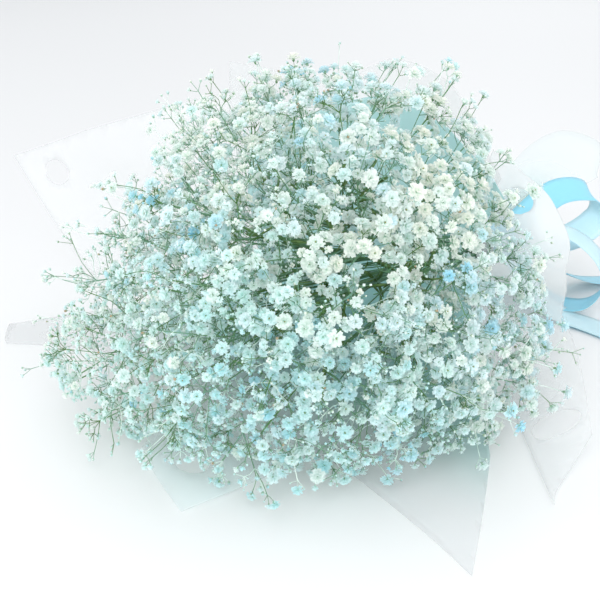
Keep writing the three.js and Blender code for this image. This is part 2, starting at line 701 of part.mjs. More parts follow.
function addPart(name, look, solid) {
  const mesh = new THREE.Mesh(geometryOfSolid(solid), new THREE.MeshStandardMaterial(LOOKS[look]));
  mesh.name = name;
  parts.add(mesh);
}

for (const sheet of SHEETS) {
  let solid = sheetSolid(sheet);
  for (const hole of sheet.holes) solid = solid.subtract(punch(sheet, hole));
  addPart(sheet.name, sheet.look, solid);
}
addPart('ribbon', 'ribbon', ribbonSolid());
addPart('binding', 'twine', ring(BINDING.inner, BINDING.outer, BINDING.width, BINDING.sides));
stems.forEach((stem, index) => {
  const name = `stem_${String(index + 1).padStart(2, '0')}`;
  addPart(name, 'flower', stemSolid(skeletonOf(stem, index), index));
});

// Stand the whole over its own footprint: centred in X and Y, with the table at z = 0.
const footprint = new THREE.Box3().setFromObject(parts);
const middle = footprint.getCenter(vec(0, 0, 0));
parts.position.set(-middle.x, -middle.y, -footprint.min.z);

export default parts;
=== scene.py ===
# %% [markdown]
# # A bouquet of gypsophila in its wrap
#
# Gypsophila, or baby's breath, is a cloud of small ruffled florets on thin stems that fork again and
# again. Here a bunch of dyed stems is tied together and lies on its side. Milky film and a pale blue
# lining are gathered round the tie, and a satin ribbon holds them.
#
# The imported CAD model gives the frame: how long each stem is, where its big florets are and how the
# sheets lie. Each big CAD floret stands for a small spray of real florets and buds, and this lesson
# grows those sprays. We load the model first, because every piece is placed by it.

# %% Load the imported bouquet
import json
import math
import bmesh
import bpy
import numpy as np
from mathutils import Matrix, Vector, geometry, kdtree, noise

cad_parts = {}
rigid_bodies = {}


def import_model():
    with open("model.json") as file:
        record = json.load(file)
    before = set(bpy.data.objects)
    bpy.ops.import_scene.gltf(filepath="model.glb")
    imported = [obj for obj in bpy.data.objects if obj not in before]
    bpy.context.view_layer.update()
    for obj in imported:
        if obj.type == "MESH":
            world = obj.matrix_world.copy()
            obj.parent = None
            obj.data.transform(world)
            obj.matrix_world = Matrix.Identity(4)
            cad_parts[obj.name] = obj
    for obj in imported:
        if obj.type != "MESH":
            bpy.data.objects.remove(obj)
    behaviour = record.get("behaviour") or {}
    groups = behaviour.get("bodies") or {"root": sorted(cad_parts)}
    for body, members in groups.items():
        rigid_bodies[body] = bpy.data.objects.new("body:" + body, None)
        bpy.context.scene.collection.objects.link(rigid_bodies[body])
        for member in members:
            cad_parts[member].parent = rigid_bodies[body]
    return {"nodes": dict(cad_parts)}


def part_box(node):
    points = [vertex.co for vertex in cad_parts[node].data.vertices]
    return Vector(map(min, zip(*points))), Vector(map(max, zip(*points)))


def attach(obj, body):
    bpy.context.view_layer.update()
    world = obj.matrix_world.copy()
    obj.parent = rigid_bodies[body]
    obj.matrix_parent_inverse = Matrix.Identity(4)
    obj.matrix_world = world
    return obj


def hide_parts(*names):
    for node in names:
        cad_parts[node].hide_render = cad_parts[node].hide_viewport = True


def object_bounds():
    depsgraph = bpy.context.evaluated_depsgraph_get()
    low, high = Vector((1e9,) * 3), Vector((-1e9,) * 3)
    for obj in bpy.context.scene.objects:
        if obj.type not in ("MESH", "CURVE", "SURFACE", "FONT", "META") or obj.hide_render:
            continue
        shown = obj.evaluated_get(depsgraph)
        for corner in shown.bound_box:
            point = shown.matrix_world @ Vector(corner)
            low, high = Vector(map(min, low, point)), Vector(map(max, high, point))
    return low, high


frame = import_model()
cad_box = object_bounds()
STEM_NODES = sorted(name for name in frame["nodes"] if name.startswith("stem_"))
print("stems in the model:", len(STEM_NODES))

# %% [markdown]
# ## Where things are
#
# A florist builds a bouquet round its tie, so we measure from there too. All shapes are worked out in
# millimetres from the point on the table under the tie, with the flowers towards -Y. One function
# turns such points into metres in the model's own frame. The tie's place comes from the binding.

# %% Measure from the tie
MM = 0.001
TIE_HEIGHT = 45.0
binding_low, binding_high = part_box("binding")
tie_ground = np.array((binding_low + binding_high) / 2) - np.array([0, 0, TIE_HEIGHT * MM])


def to_metres(points):
    return np.asarray(points, float).reshape(-1, 3) * MM + tie_ground


def to_millimetres(points):
    return (np.asarray(points, float).reshape(-1, 3) - tie_ground) / MM


def unit(vector):
    return vector / max(np.linalg.norm(vector), 1e-9)


def square_to(direction):
    helper = np.array([0, 0, 1.0]) if abs(direction[2]) < 0.9 else np.array([1.0, 0, 0])
    across = unit(np.cross(direction, helper))
    return across, unit(np.cross(direction, across))


def ease(share):
    return share * share * (3 - 2 * share)


print("the tie stands over", [round(float(v), 4) for v in tie_ground])

# %% [markdown]
# ## Camera, floor and light
#
# The bouquet is seen from a little above, from the side where the flowers turn towards us. The camera
# is a 54 mm lens looking down 24 degrees. The floor is a plain pale sheet, and the light is what a
# bright room with white walls gives: even light from all round, one large soft window in front, a low
# one that reaches under the flowers, and weaker ones above, behind and on both sides. The one behind
# shines through the film and the petals.

# %% Camera
LOOK_DOWN = math.radians(24)
LOOK_ROUND = math.radians(45)
CAMERA_PLACE = [394.5, -606.7, 306.0]
LENS, SENSOR_WIDTH = 54, 36


def new_object(name, data):
    thing = bpy.data.objects.new(name, data)
    bpy.context.scene.collection.objects.link(thing)
    return thing


camera = new_object("camera", bpy.data.cameras.new("camera"))
camera.data.lens = LENS
camera.data.sensor_width = SENSOR_WIDTH
camera.location = to_metres(CAMERA_PLACE)[0]
camera.rotation_euler = (math.radians(90) - LOOK_DOWN, 0, LOOK_ROUND)
bpy.context.scene.camera = camera
print("camera at", [round(v, 3) for v in camera.location])

# %% Lamps, each with its place, the spot it faces, its size, its power and its colour
LAMPS = {
    "skylight": ((0.2, -0.5, 2.2), (0, -0.1, 0), 2.2, 4, (1.0, 0.995, 0.985)),
    "window": ((0.62, -1.0, 0.85), (0.1, -0.2, 0), 1.0, 7.8, (1.0, 1.0, 0.99)),
    "low_window": ((0.55, -1.35, 0.3), (0.1, -0.2, 0.03), 0.8, 1.3, (0.98, 1.0, 1.0)),
    "right_window": ((1.25, -0.55, 0.5), (0.2, -0.12, 0.08), 0.9, 5.0, (0.99, 0.995, 1.0)),
    "left_window": ((-1.9, -1.5, 0.8), (0, -0.1, 0.1), 1.6, 10, (0.98, 0.99, 1.0)),
    "back_window": ((-1.3, 2.4, 1.6), (0, -0.05, 0.1), 1.8, 9.5, (0.98, 0.99, 1.0)),
}


def area_light(name, place, towards, size, power, colour):
    lamp = new_object(name, bpy.data.lights.new(name, "AREA"))
    lamp.data.shape = "DISK"
    lamp.data.size = size
    lamp.data.energy = power
    lamp.data.color = colour
    lamp.location = place
    lamp.rotation_euler = (Vector(towards) - Vector(place)).to_track_quat("-Z", "Y").to_euler()


for name, settings in LAMPS.items():
    area_light(name, *settings)
print("lamps:", len(LAMPS))

# %% Even light and the floor
ROOM_LIGHT = 1.02
ROOM_COLOUR = (0.97, 0.985, 1.0, 1)
CLEAR_LAYERS = 24
FLOOR_SIZE = 30.0

world = bpy.data.worlds.new("bright_room")
world.use_nodes = True
world.node_tree.nodes["Background"].inputs["Color"].default_value = ROOM_COLOUR
world.node_tree.nodes["Background"].inputs["Strength"].default_value = ROOM_LIGHT
bpy.context.scene.world = world
bpy.context.scene.view_settings.view_transform = "Standard"
bpy.context.scene.cycles.transparent_max_bounces = CLEAR_LAYERS

floor_mesh = bpy.data.meshes.new("floor")
half = FLOOR_SIZE / 2
floor_mesh.from_pydata(
    [(-half, -half, 0), (half, -half, 0), (half, half, 0), (-half, half, 0)], [], [(0, 1, 2, 3)]
)
floor = new_object("floor", floor_mesh)
print("floor laid,", FLOOR_SIZE, "m wide")

# %% [markdown]
# ## Finishes
#
# A material is a small network of nodes. These helpers keep each network short: one makes a material
# with its shader, one adds a node with its settings, and some join nodes into what we use again and
# again: a mottled colour, a fine grain, and a soft glow for light that passes through. A pattern is
# measured in the object's own coordinates, so it stays on its piece.

# %% Nodes and colours
def new_material(name):
    material = bpy.data.materials.new(name)
    material.use_nodes = True
    shader = material.node_tree.nodes["Principled BSDF"]
    return material, material.node_tree, shader


def add_node(tree, kind, **settings):
    node = tree.nodes.new(kind)
    for name, value in settings.items():
        if name in node.inputs:
            node.inputs[name].default_value = value
        else:
            setattr(node, name, value)
    return node


def set_inputs(node, values):
    for name, value in values.items():
        node.inputs[name].default_value = value


def plain_colour(tree, colour):
    node = add_node(tree, "ShaderNodeRGB")
    node.outputs[0].default_value = (*colour, 1)
    return node.outputs[0]


def carried(tree, attribute, output="Fac"):
    """A value that the mesh carries at its points."""
    return add_node(tree, "ShaderNodeAttribute", attribute_name=attribute).outputs[output]


def object_noise(tree, scale, detail=3.0):
    place = add_node(tree, "ShaderNodeTexCoord")
    pattern = add_node(tree, "ShaderNodeTexNoise", Scale=scale, Detail=detail)
    tree.links.new(place.outputs["Object"], pattern.inputs["Vector"])
    return pattern.outputs["Fac"]


PALE_FLOOR = {"Base Color": (0.715, 0.722, 0.73, 1), "Roughness": 0.55}
floor_finish, tree, shader = new_material("pale_floor")
set_inputs(shader, PALE_FLOOR)
floor.data.materials.append(floor_finish)
print("floor finish ready")

# %% Colours that change over a piece
RAMP_ENDS = (0.35, 0.65)


def two_tone(tree, share, first, second, ends=RAMP_ENDS):
    ramp = add_node(tree, "ShaderNodeValToRGB")
    for element, position, colour in zip(ramp.color_ramp.elements, ends, (first, second)):
        element.position = position
        element.color = (*colour, 1)
    tree.links.new(share, ramp.inputs["Fac"])
    return ramp.outputs["Color"]


def mottled(tree, scale, first, second, ends=RAMP_ENDS, detail=3.0):
    return two_tone(tree, object_noise(tree, scale, detail), first, second, ends)


def mixed_colour(tree, share, first, second):
    mix = add_node(tree, "ShaderNodeMix", data_type="RGBA")
    for source, socket in ((share, 0), (first, 6), (second, 7)):
        tree.links.new(source, mix.inputs[socket])
    return mix.outputs[2]


def multiplied(tree, first, second):
    mix = add_node(tree, "ShaderNodeMix", data_type="RGBA", blend_type="MULTIPLY")
    mix.inputs[0].default_value = 1.0
    tree.links.new(first, mix.inputs[6])
    tree.links.new(second, mix.inputs[7])
    return mix.outputs[2]


print("a mottled colour runs over", RAMP_ENDS, "of its noise")

# %% Grain, glow and output
def bumped(tree, shader, height, strength, depth):
    bump = add_node(tree, "ShaderNodeBump", Strength=strength, Distance=depth)
    tree.links.new(height, bump.inputs["Height"])
    tree.links.new(bump.outputs["Normal"], shader.inputs["Normal"])


def grained(tree, shader, fineness, strength, depth):
    bumped(tree, shader, object_noise(tree, fineness), strength, depth)


def blended(tree, share, first, second):
    blend = add_node(tree, "ShaderNodeMixShader")
    if isinstance(share, float):
        blend.inputs["Fac"].default_value = share
    else:
        tree.links.new(share, blend.inputs["Fac"])
    tree.links.new(first, blend.inputs[1])
    tree.links.new(second, blend.inputs[2])
    return blend.outputs["Shader"]


def glowing(tree, shader, colour, share):
    """The shader, with a share of the light going through it and coming out soft on the far side."""
    glow = add_node(tree, "ShaderNodeBsdfTranslucent")
    tree.links.new(colour, glow.inputs["Color"])
    return blended(tree, share, shader.outputs["BSDF"], glow.outputs["BSDF"])


def shown(tree, finish):
    tree.links.new(finish, tree.nodes["Material Output"].inputs["Surface"])


print("finish helpers ready")

# %% [markdown]
# ## Petals, stalks and leaves
#
# Dyed gypsophila takes the colour unevenly: some florets stay cream, others turn ice blue, mint or
# sky blue. Each floret carries its own tint as an attribute. A petal is lightest at its tip and
# darker and greener towards the floret's middle: the green is the petal's own, and the darkening is
# painted shade. Petals are thin, so part of the light goes through them. The dye also reached some
# twigs: such a line carries a one, and takes the pale colours.

# %% Floret finish
CALYX_GREEN = (0.28, 0.43, 0.22)
CALYX_DYED = (0.50, 0.72, 0.64)
# The heart colour darkens and greens a petal's tint towards the floret's middle: the green is the
# petal's own, the darkening is painted shade.
PETAL_HEART_GREEN_AND_SHADE = (0.85, 0.93, 0.88)
PETAL_GREEN_AND_SHADE_SPAN = (0.05, 0.6)
STAMEN_OLIVE = (0.42, 0.40, 0.14)
PETAL_GLOW = 0.56

floret_finish, tree, shader = new_material("dyed_floret")
tint = carried(tree, "tint", "Color")
toward_tip = add_node(tree, "ShaderNodeMapRange")
set_inputs(toward_tip, {"From Min": PETAL_GREEN_AND_SHADE_SPAN[0], "From Max": PETAL_GREEN_AND_SHADE_SPAN[1]})
tree.links.new(carried(tree, "tip"), toward_tip.inputs["Value"])
# Painted shade and the petal's own green: the tint is darkened towards the floret's middle.
heart_green_and_shade = multiplied(tree, tint, plain_colour(tree, PETAL_HEART_GREEN_AND_SHADE))
petal_colour = mixed_colour(tree, toward_tip.outputs["Result"], heart_green_and_shade, tint)
petal_colour = mixed_colour(tree, carried(tree, "eye"), petal_colour, plain_colour(tree, STAMEN_OLIVE))
calyx_colour = mottled(tree, 60.0, CALYX_GREEN, CALYX_DYED)
floret_colour = mixed_colour(tree, carried(tree, "green"), petal_colour, calyx_colour)
tree.links.new(floret_colour, shader.inputs["Base Color"])
set_inputs(shader, {"Roughness": 0.62, "Specular IOR Level": 0.25})
grained(tree, shader, fineness=1400.0, strength=0.25, depth=0.0003)
shown(tree, glowing(tree, shader, floret_colour, PETAL_GLOW))
print("floret finish:", len(tree.nodes), "nodes")

# %% Stalk and leaf finishes
STALK_GREEN = (0.09, 0.20, 0.05)
STALK_TEAL = (0.20, 0.37, 0.27)
STALK_DYED = (0.74, 0.86, 0.80)
LEAF_DARK = (0.09, 0.18, 0.05)
LEAF_LIGHT = (0.22, 0.34, 0.12)
GREEN_SKIN = {"Roughness": 0.55, "Specular IOR Level": 0.25}

stalk_finish, tree, shader = new_material("green_stalk")
bark = mottled(tree, 35.0, STALK_GREEN, STALK_TEAL)
dyed = mottled(tree, 90.0, STALK_DYED, STALK_TEAL, ends=(0.4, 0.9))
tree.links.new(mixed_colour(tree, carried(tree, "pale"), bark, dyed), shader.inputs["Base Color"])
set_inputs(shader, GREEN_SKIN)
grained(tree, shader, fineness=700.0, strength=0.3, depth=0.0004)

leaf_finish, tree, shader = new_material("narrow_leaf")
tree.links.new(mottled(tree, 120.0, LEAF_DARK, LEAF_LIGHT), shader.inputs["Base Color"])
set_inputs(shader, GREEN_SKIN)
grained(tree, shader, fineness=500.0, strength=0.3, depth=0.0003)
print("stalk and leaf finishes ready")

# %% [markdown]
# ## Film, lining and ribbon
#
# The wrapping film is milky: over two thirds of the light passes straight through, and the rest glows
# softly inside it. The lining is the same kind of sheet with a pale blue colour. Towards the tie it is
# deeper, partly where its gathers lie on each other and partly as painted shade deep in the wrap. The
# film under the flowers has painted teal shade near the tie, for the light that reaches it through the
# dyed florets. One function makes all three, and the mesh says where a sheet is single, where it is
# deep and where shade is painted on it.
#
# Satin has a smooth sheen and very fine threads along its length, so its bump is stretched one way,
# along the ribbon's own UV map. Its front skin is painted paler than its back: a painted sheen for the
# room it reflects. Its back is painted a deeper blue, for the light that shines through the satin.

# %% Milky sheets
FILM = {"colour": (0.885, 0.898, 0.905), "shade": (0.85, 0.862, 0.87), "deep": (1, 1, 1),
        "clear": 0.72, "clear_deep": 0.1, "glow": 0.5, "roughness": 0.3}
# The film under the flowers is painted a deeper teal near the tie: painted shade for the light that
# reaches it through the dyed florets.
FILM_WITH_PAINTED_SHADE = {**FILM, "deep": (0.62, 0.90, 0.88), "clear_deep": 0.32}
# The lining's deeper tint near the tie is partly its gathers and partly painted shade deep in the wrap.
LINING = {"colour": (0.86, 0.96, 0.965), "shade": (0.90, 0.97, 0.975), "deep": (0.74, 0.89, 0.885),
          "clear": 0.74, "clear_deep": 0.16, "glow": 0.6, "roughness": 0.45}


def milky_sheet(name, look):
    """clear is how much light passes straight through a single sheet, and the second clear value how
    much where the sheet is deep and where shade is painted on it.
    """
    material, tree, shader = new_material(name)
    milk = carried(tree, "milk")
    single = mottled(tree, 9.0, look["colour"], look["shade"], detail=2.0)
    # Where a sheet is deep, and where shade is painted on it, its colour is multiplied by the deeper
    # tint.
    tone = mixed_colour(tree, milk, single, multiplied(tree, single, plain_colour(tree, look["deep"])))
    tree.links.new(tone, shader.inputs["Base Color"])
    set_inputs(shader, {"Roughness": look["roughness"], "Coat Weight": 0.25, "Coat Roughness": 0.2})
    grained(tree, shader, fineness=30.0, strength=0.15, depth=0.002)
    passing = add_node(tree, "ShaderNodeMapRange")
    set_inputs(passing, {"To Min": look["clear"], "To Max": look["clear_deep"]})
    tree.links.new(milk, passing.inputs["Value"])
    body = glowing(tree, shader, tone, look["glow"])
    see_through = add_node(tree, "ShaderNodeBsdfTransparent").outputs["BSDF"]
    shown(tree, blended(tree, passing.outputs["Result"], body, see_through))
    return material


film_finish = milky_sheet("milky_film", FILM)
SHEET_FINISHES = {
    "film_under": milky_sheet("dyed_film", FILM_WITH_PAINTED_SHADE),
    "lining": milky_sheet("blue_lining", LINING),
}
print("milky finishes:", 1 + len(SHEET_FINISHES))

# %% Satin and twine
# The back's deeper blue is painted light that shines through, and the front's pale blue is painted
# sheen.
SATIN_BLUE = (0.36, 0.76, 0.90)
SATIN_PAINTED_SHEEN = (0.74, 0.92, 0.96)
SATIN_THREAD = (0.93, 0.97, 0.98)
SATIN_GLOW = 0.3
SATIN_SKIN = {"Roughness": 0.36, "Anisotropic": 0.6, "Sheen Weight": 0.35, "Sheen Roughness": 0.4}
THREAD_STRETCH = (180.0, 4.0, 1.0)
TWINE_DARK, TWINE_LIGHT = (0.42, 0.50, 0.34), (0.60, 0.66, 0.50)

satin_finish, tree, shader = new_material("satin_ribbon")
threads_at = add_node(tree, "ShaderNodeUVMap", uv_map="ribbon")
stretch = add_node(tree, "ShaderNodeMapping", Scale=THREAD_STRETCH)
threads = add_node(tree, "ShaderNodeTexNoise", Scale=1.0, Detail=3.0)
tree.links.new(threads_at.outputs["UV"], stretch.inputs["Vector"])
tree.links.new(stretch.outputs["Vector"], threads.inputs["Vector"])
# Painted sheen and through-light: the front skin gets the pale colour, the back the deeper blue.
satin_sides_painted_light = two_tone(tree, carried(tree, "glossy_side"), SATIN_BLUE, SATIN_PAINTED_SHEEN)
satin_thread = two_tone(tree, threads.outputs["Fac"], (1, 1, 1), SATIN_THREAD)
satin_colour = multiplied(tree, satin_sides_painted_light, satin_thread)
tree.links.new(satin_colour, shader.inputs["Base Color"])
set_inputs(shader, SATIN_SKIN)
bumped(tree, shader, threads.outputs["Fac"], strength=0.12, depth=0.0004)
shown(tree, glowing(tree, shader, satin_colour, SATIN_GLOW))

twine_finish, tree, shader = new_material("twine")
tree.links.new(mottled(tree, 400.0, TWINE_DARK, TWINE_LIGHT), shader.inputs["Base Color"])
set_inputs(shader, {"Roughness": 0.85})
grained(tree, shader, fineness=1500.0, strength=0.6, depth=0.0006)
print("ribbon and twine finishes ready")

# %% [markdown]
# ## How a gathered sheet runs
#
# A sheet that is gathered in a tie and then opens out is a kind of trumpet. Along any line from the
# tie to the rim it first runs straight through the tie, then bends outward until it has its full
# slope. So we only need, for each angle round the axis, how steep the sheet is and how far its edge
# is. Adding up the slope step by step gives the line. Straight edges of the flat sheet stay straight
# when the rim is read along 1 / distance.
#
# The table below gives each sheet by its angles round the axis in degrees: 0 is the side of the bow and
# 90 is up. A slope is in degrees, and all lengths are in millimetres. A hole is given by its angle and
# its distance from the tie. Near the tie the lining is deep, partly with painted shade, and the film
# under the flowers carries painted shade. Both fade out between two distances given ahead of the tie,
# and between two given behind it.

# %% The sheets' measures
SHEETS = {
    "film_under": {
        "waist": 20.2, "lies": 0.0, "arc": (190, 334),
        "slope": [(190, 46), (206, 34), (240, 38), (270, 40), (300, 43), (334, 43)],
        "rim": [(190, 215), (200, 388), (212, 396), (240, 345), (285, 350), (323, 392), (334, 262)],
        "tail": [(190, 55), (334, 60)], "tail_slope": 38, "holes": [],
        # The painted teal shade on this film fades out between these distances.
        "deep_to": (200, 350), "tail_deep_to": (30, 110),
    },
    "film_right": {
        "waist": 18.6, "lies": 1.2, "arc": (-17, 62),
        "slope": [(-17, 48), (0, 62), (22, 73), (62, 70)],
        "rim": [(-17, 308), (-8, 256), (2, 158), (12, 136), (38, 134), (50, 132), (62, 140)],
        "tail": [(-17, 60), (62, 70)], "tail_slope": 36, "holes": [(43, 114), (-11, 236)],
        "curl": {"angle": 30, "reach": 36, "start": 84, "turn": 80},
    },
    "film_left": {
        "waist": 18.6, "lies": 1.2, "arc": (136, 188),
        "slope": [(136, 64), (166, 52), (188, 50)],
        "rim": [(136, 214), (150, 271), (167, 391), (188, 330)],
        "tail": [(136, 65), (188, 50)], "tail_slope": 36, "holes": [(168.5, 353)],
    },
    "film_back": {
        "waist": 17.0, "lies": 2.4, "arc": (50, 150),
        "slope": [(50, 62), (95, 66), (136, 56), (150, 53)],
        "rim": [(50, 150), (72, 178), (97, 192), (112, 188), (130, 254), (150, 215)],
        "tail": [(50, 60), (150, 70)], "tail_slope": 33, "holes": [(130, 226)],
    },
    "lining": {
        "waist": 15.4, "lies": 2.4, "arc": (44, 300),
        "slope": [
            (44, 62), (95, 62), (136, 54), (164, 48), (190, 41), (208, 30),
            (240, 32), (270, 32), (300, 36),
        ],
        "rim": [
            (44, 140), (80, 152), (112, 182), (150, 200), (190, 178), (215, 200),
            (240, 262), (270, 402), (286, 438), (300, 300),
        ],
        "tail": [(44, 124), (66, 150), (95, 150), (150, 128), (200, 70), (300, 60)],
        # The lining's deeper tint, partly gathers and partly painted shade, fades out between these
        # distances.
        "tail_slope": 29, "holes": [(280, 394)], "deep_to": (180, 340), "tail_deep_to": (30, 110),
    },
}
COLLAR = 14.0
OPENING_LENGTH = 50.0
HOLE_RADIUS = 10.0
FOLDS = {"height": 3.5, "turns": 5, "phase": 40, "start": 60, "over": 140}
print("sheets:", list(SHEETS))

# %% Read a sheet's line off its table
LEAST_LINE, LINE_SPARE = 200.0, 20


def along(table, angle, straight=False):
    """A value between those of the table; a straight edge is read along 1 / distance."""
    angles = [a for a, _ in table]
    if angle <= angles[0]:
        return table[0][1]
    if angle >= angles[-1]:
        return table[-1][1]
    k = next(i for i in range(1, len(table)) if angle <= angles[i])
    (a0, v0), (a1, v1) = table[k - 1], table[k]
    share = (angle - a0) / (a1 - a0)
    if straight:
        return 1 / ((1 - share) / v0 + share / v1)
    return v0 + (v1 - v0) * ease(share)


def curl_share(curl, angle):
    """From 0 beside the turned-over flap to 1 in its middle."""
    return ease(max(0.0, 1 - abs(angle - curl["angle"]) / curl["reach"]))


def slope_at(sheet, angle, s, rim):
    """How steep the sheet is, in radians, at the distances s along it."""
    opening = ease(np.clip((np.abs(s) - COLLAR) / OPENING_LENGTH, 0, 1))
    steep = np.where(s < 0, sheet["tail_slope"], along(sheet["slope"], angle)) * opening
    curl = sheet.get("curl")
    if curl:
        run = np.clip((s - curl["start"]) / (rim - curl["start"]), 0, 1)
        steep = steep + curl["turn"] * curl_share(curl, angle) * ease(run)
    return np.radians(steep)


def added_up(slopes):
    """How far out and how far ahead a line has come after each millimetre."""
    return [np.concatenate([[0], np.cumsum(part)]) for part in (np.sin(slopes), np.cos(slopes))]


def sheet_line(sheet, angle, s):
    """Radius round the axis, and distance ahead of the tie, at the distances s along the sheet."""
    rim = along(sheet["rim"], angle, straight=True)
    steps = np.arange(0.5, max(rim, LEAST_LINE) + LINE_SPARE, 1.0)
    ends = np.concatenate([[0], np.cumsum(np.ones_like(steps))])
    out_front, ahead_front = added_up(slope_at(sheet, angle, steps, rim))
    out_back, ahead_back = added_up(slope_at(sheet, angle, -steps, rim))
    s = np.asarray(s, float)
    ahead = np.where(s < 0, -np.interp(-s, ends, ahead_back), np.interp(s, ends, ahead_front))
    radius = np.where(s < 0, np.interp(-s, ends, out_back), np.interp(s, ends, out_front))
    swell = np.clip((s - FOLDS["start"]) / FOLDS["over"], 0, 1)
    fold = FOLDS["height"] * math.sin(math.radians(FOLDS["turns"] * angle + FOLDS["phase"])) * swell
    return sheet["waist"] + radius + fold, ahead


for name, sheet in SHEETS.items():
    print(name, "opens from", sheet["waist"], "mm over", sheet["arc"][1] - sheet["arc"][0], "degrees")

# %% [markdown]
# ## The room inside the wrap
#
# No floret may poke through the film or sink into the table, and none may stand further out than a
# few millimetres past the model. For that we keep a table of the sheets' lines, and a function that
# pulls a point inward until a ball of its size is clear of them.

# %% A table of the sheets' lines
FLORET_FLOOR = 5.2
LINE_STEP, LINE_GAP = 2, 4.0
PROUD = 9.0
room_low, room_high = to_millimetres(cad_box[0])[0] - PROUD, to_millimetres(cad_box[1])[0] + PROUD

room_table = []
for sheet in SHEETS.values():
    for angle in range(sheet["arc"][0], sheet["arc"][1] + 1, LINE_STEP):
        s = np.arange(0, along(sheet["rim"], angle, straight=True), LINE_GAP)
        radius, ahead = sheet_line(sheet, angle, s)
        turn = int(np.argmax(ahead)) + 1
        room_table.append((angle % 360, sheet["lies"], radius[:turn], ahead[:turn]))
print("lines that limit the room:", len(room_table))

# %% Keep clear of the sheets
LIES_WITHIN = 1.0
PETAL_SPREAD, CLEAR_BY = 1.15, 1.5
LEAST_OUT = 6.0
NO_LIMIT = 1e9


def room_at(angle, ahead):
    """How far out the nearest sheet is; where a sheet lies on the table, the table limits the room."""
    room = NO_LIMIT
    for own, lies, radius, line_ahead in room_table:
        if abs((own - angle + 180) % 360 - 180) > LINE_STEP:
            continue
        if ahead < line_ahead[0] or ahead > line_ahead[-1]:
            continue
        here = float(np.interp(ahead, line_ahead, radius))
        if TIE_HEIGHT + here * math.sin(math.radians(own)) > lies + LIES_WITHIN:
            room = min(room, here)
    return room


def settled(point, radius):
    """The point, pulled inward until a ball of the radius is clear of the sheets and the table."""
    point = np.clip(np.array(point, float), room_low + radius, room_high - radius)
    point[2] = max(point[2], FLORET_FLOOR + radius)
    x, z = point[0], point[2] - TIE_HEIGHT
    out = math.hypot(x, z)
    angle = math.degrees(math.atan2(z, x))
    room = min(room_at(angle, -point[1]), room_at(angle, -point[1] + radius))
    room = room - radius * PETAL_SPREAD - CLEAR_BY
    if out > room:
        share = max(room, LEAST_OUT) / out
        point[0] = x * share
        point[2] = max(TIE_HEIGHT + z * share, FLORET_FLOOR + radius)
    return point


print("room to the left at 150 mm ahead:", round(room_at(170, 150), 1), "mm")

# %% [markdown]
# ## Reading the sprays' places off the CAD stems
#
# On a CAD stem, a floret is a cup of five petals with a dip in its middle. The dip is the only kind
# of point where ten edges meet, five to petal tips and five to the notches between them. So we merge
# a copy of the stem's mesh and look for such points. Each gives a spray its place, its facing and its
# size. The cut end of the stem is its furthest point behind the tie.

# %% Find the places
DIP_EDGES, TIPS = 10, 5
TIP_REACH, NOTCH_REACH, LIKE = 1.044, 0.671, 0.07
CENTRE_BACK = 0.42
WELD = 2e-5
CUT_DEPTH = 0.5


def read_stem(node):
    mesh = bmesh.new()
    mesh.from_mesh(frame["nodes"][node].data)
    bmesh.ops.remove_doubles(mesh, verts=mesh.verts, dist=WELD)
    sprays = []
    for vertex in mesh.verts:
        if len(vertex.link_edges) != DIP_EDGES:
            continue
        dip = to_millimetres(vertex.co)[0]
        rim = to_millimetres([e.other_vert(vertex).co for e in vertex.link_edges])
        gaps = np.linalg.norm(rim - dip, axis=1)
        order = np.argsort(gaps)
        size = gaps[order[TIPS:]].mean() / TIP_REACH
        near, far = gaps[order[0]] / size, gaps[order[-1]] / size
        if abs(near - NOTCH_REACH) > LIKE or abs(far - TIP_REACH) > LIKE:
            continue
        facing = unit(dip - rim[order[TIPS:]].mean(0))
        sprays.append({"at": dip - CENTRE_BACK * size * facing, "facing": facing, "size": size})
    points = to_millimetres([v.co for v in mesh.verts])
    mesh.free()
    end = points[points[:, 1] > points[:, 1].max() - CUT_DEPTH].mean(0)
    sprays.sort(key=lambda spray: tuple(np.round(spray["at"], 1)))
    return {"node": node, "sprays": sprays, "cut": end}


stems = [read_stem(node) for node in STEM_NODES]
print("sprays found:", sum(len(stem["sprays"]) for stem in stems))

# %% [markdown]
# ## Growing the lines of a stem
#
# Each stem runs straight through the tie, bends towards its part of the head, and gives off branches
# on the way. A branch ends in one spray, and gives off a twig to each of its neighbours. The lines
# follow the same rule as the solids: sprays that are near each other share a branch.

# %% Share the sprays out between branches
HEAD_CENTRE = np.array([28.0, -226.0, 76.0])
SPRAYS_PER_BRANCH = 4
NECK = 0.62


def toward_head(point, share):
    return HEAD_CENTRE + (point - HEAD_CENTRE) * share


def neck_of(start, spray):
    return spray["at"] + unit(start - spray["at"]) * NECK * spray["size"]


def grouped(sprays):
    count = max(1, math.floor(len(sprays) / SPRAYS_PER_BRANCH + 0.5))
    places = np.array([spray["at"] for spray in sprays])
    seeds = [int(np.argmax(np.linalg.norm(places - places.mean(0), axis=1)))]
    while len(seeds) < count:
        lone = np.min([np.linalg.norm(places - places[k], axis=1) for k in seeds], axis=0)
        seeds.append(int(np.argmax(lone)))
    nearest = np.argmin([np.linalg.norm(places - places[k], axis=1) for k in seeds], axis=0)
    return [[sprays[i] for i in np.flatnonzero(nearest == k)] for k in range(count)]


for stem in stems:
    stem["groups"] = grouped(stem["sprays"])
print("branches to grow:", sum(len(stem["groups"]) for stem in stems))

# %% Twigs along a branch
FORK_STEP, FORK_LEAD, FORK_APART = 2.0, 0.8, 4.0


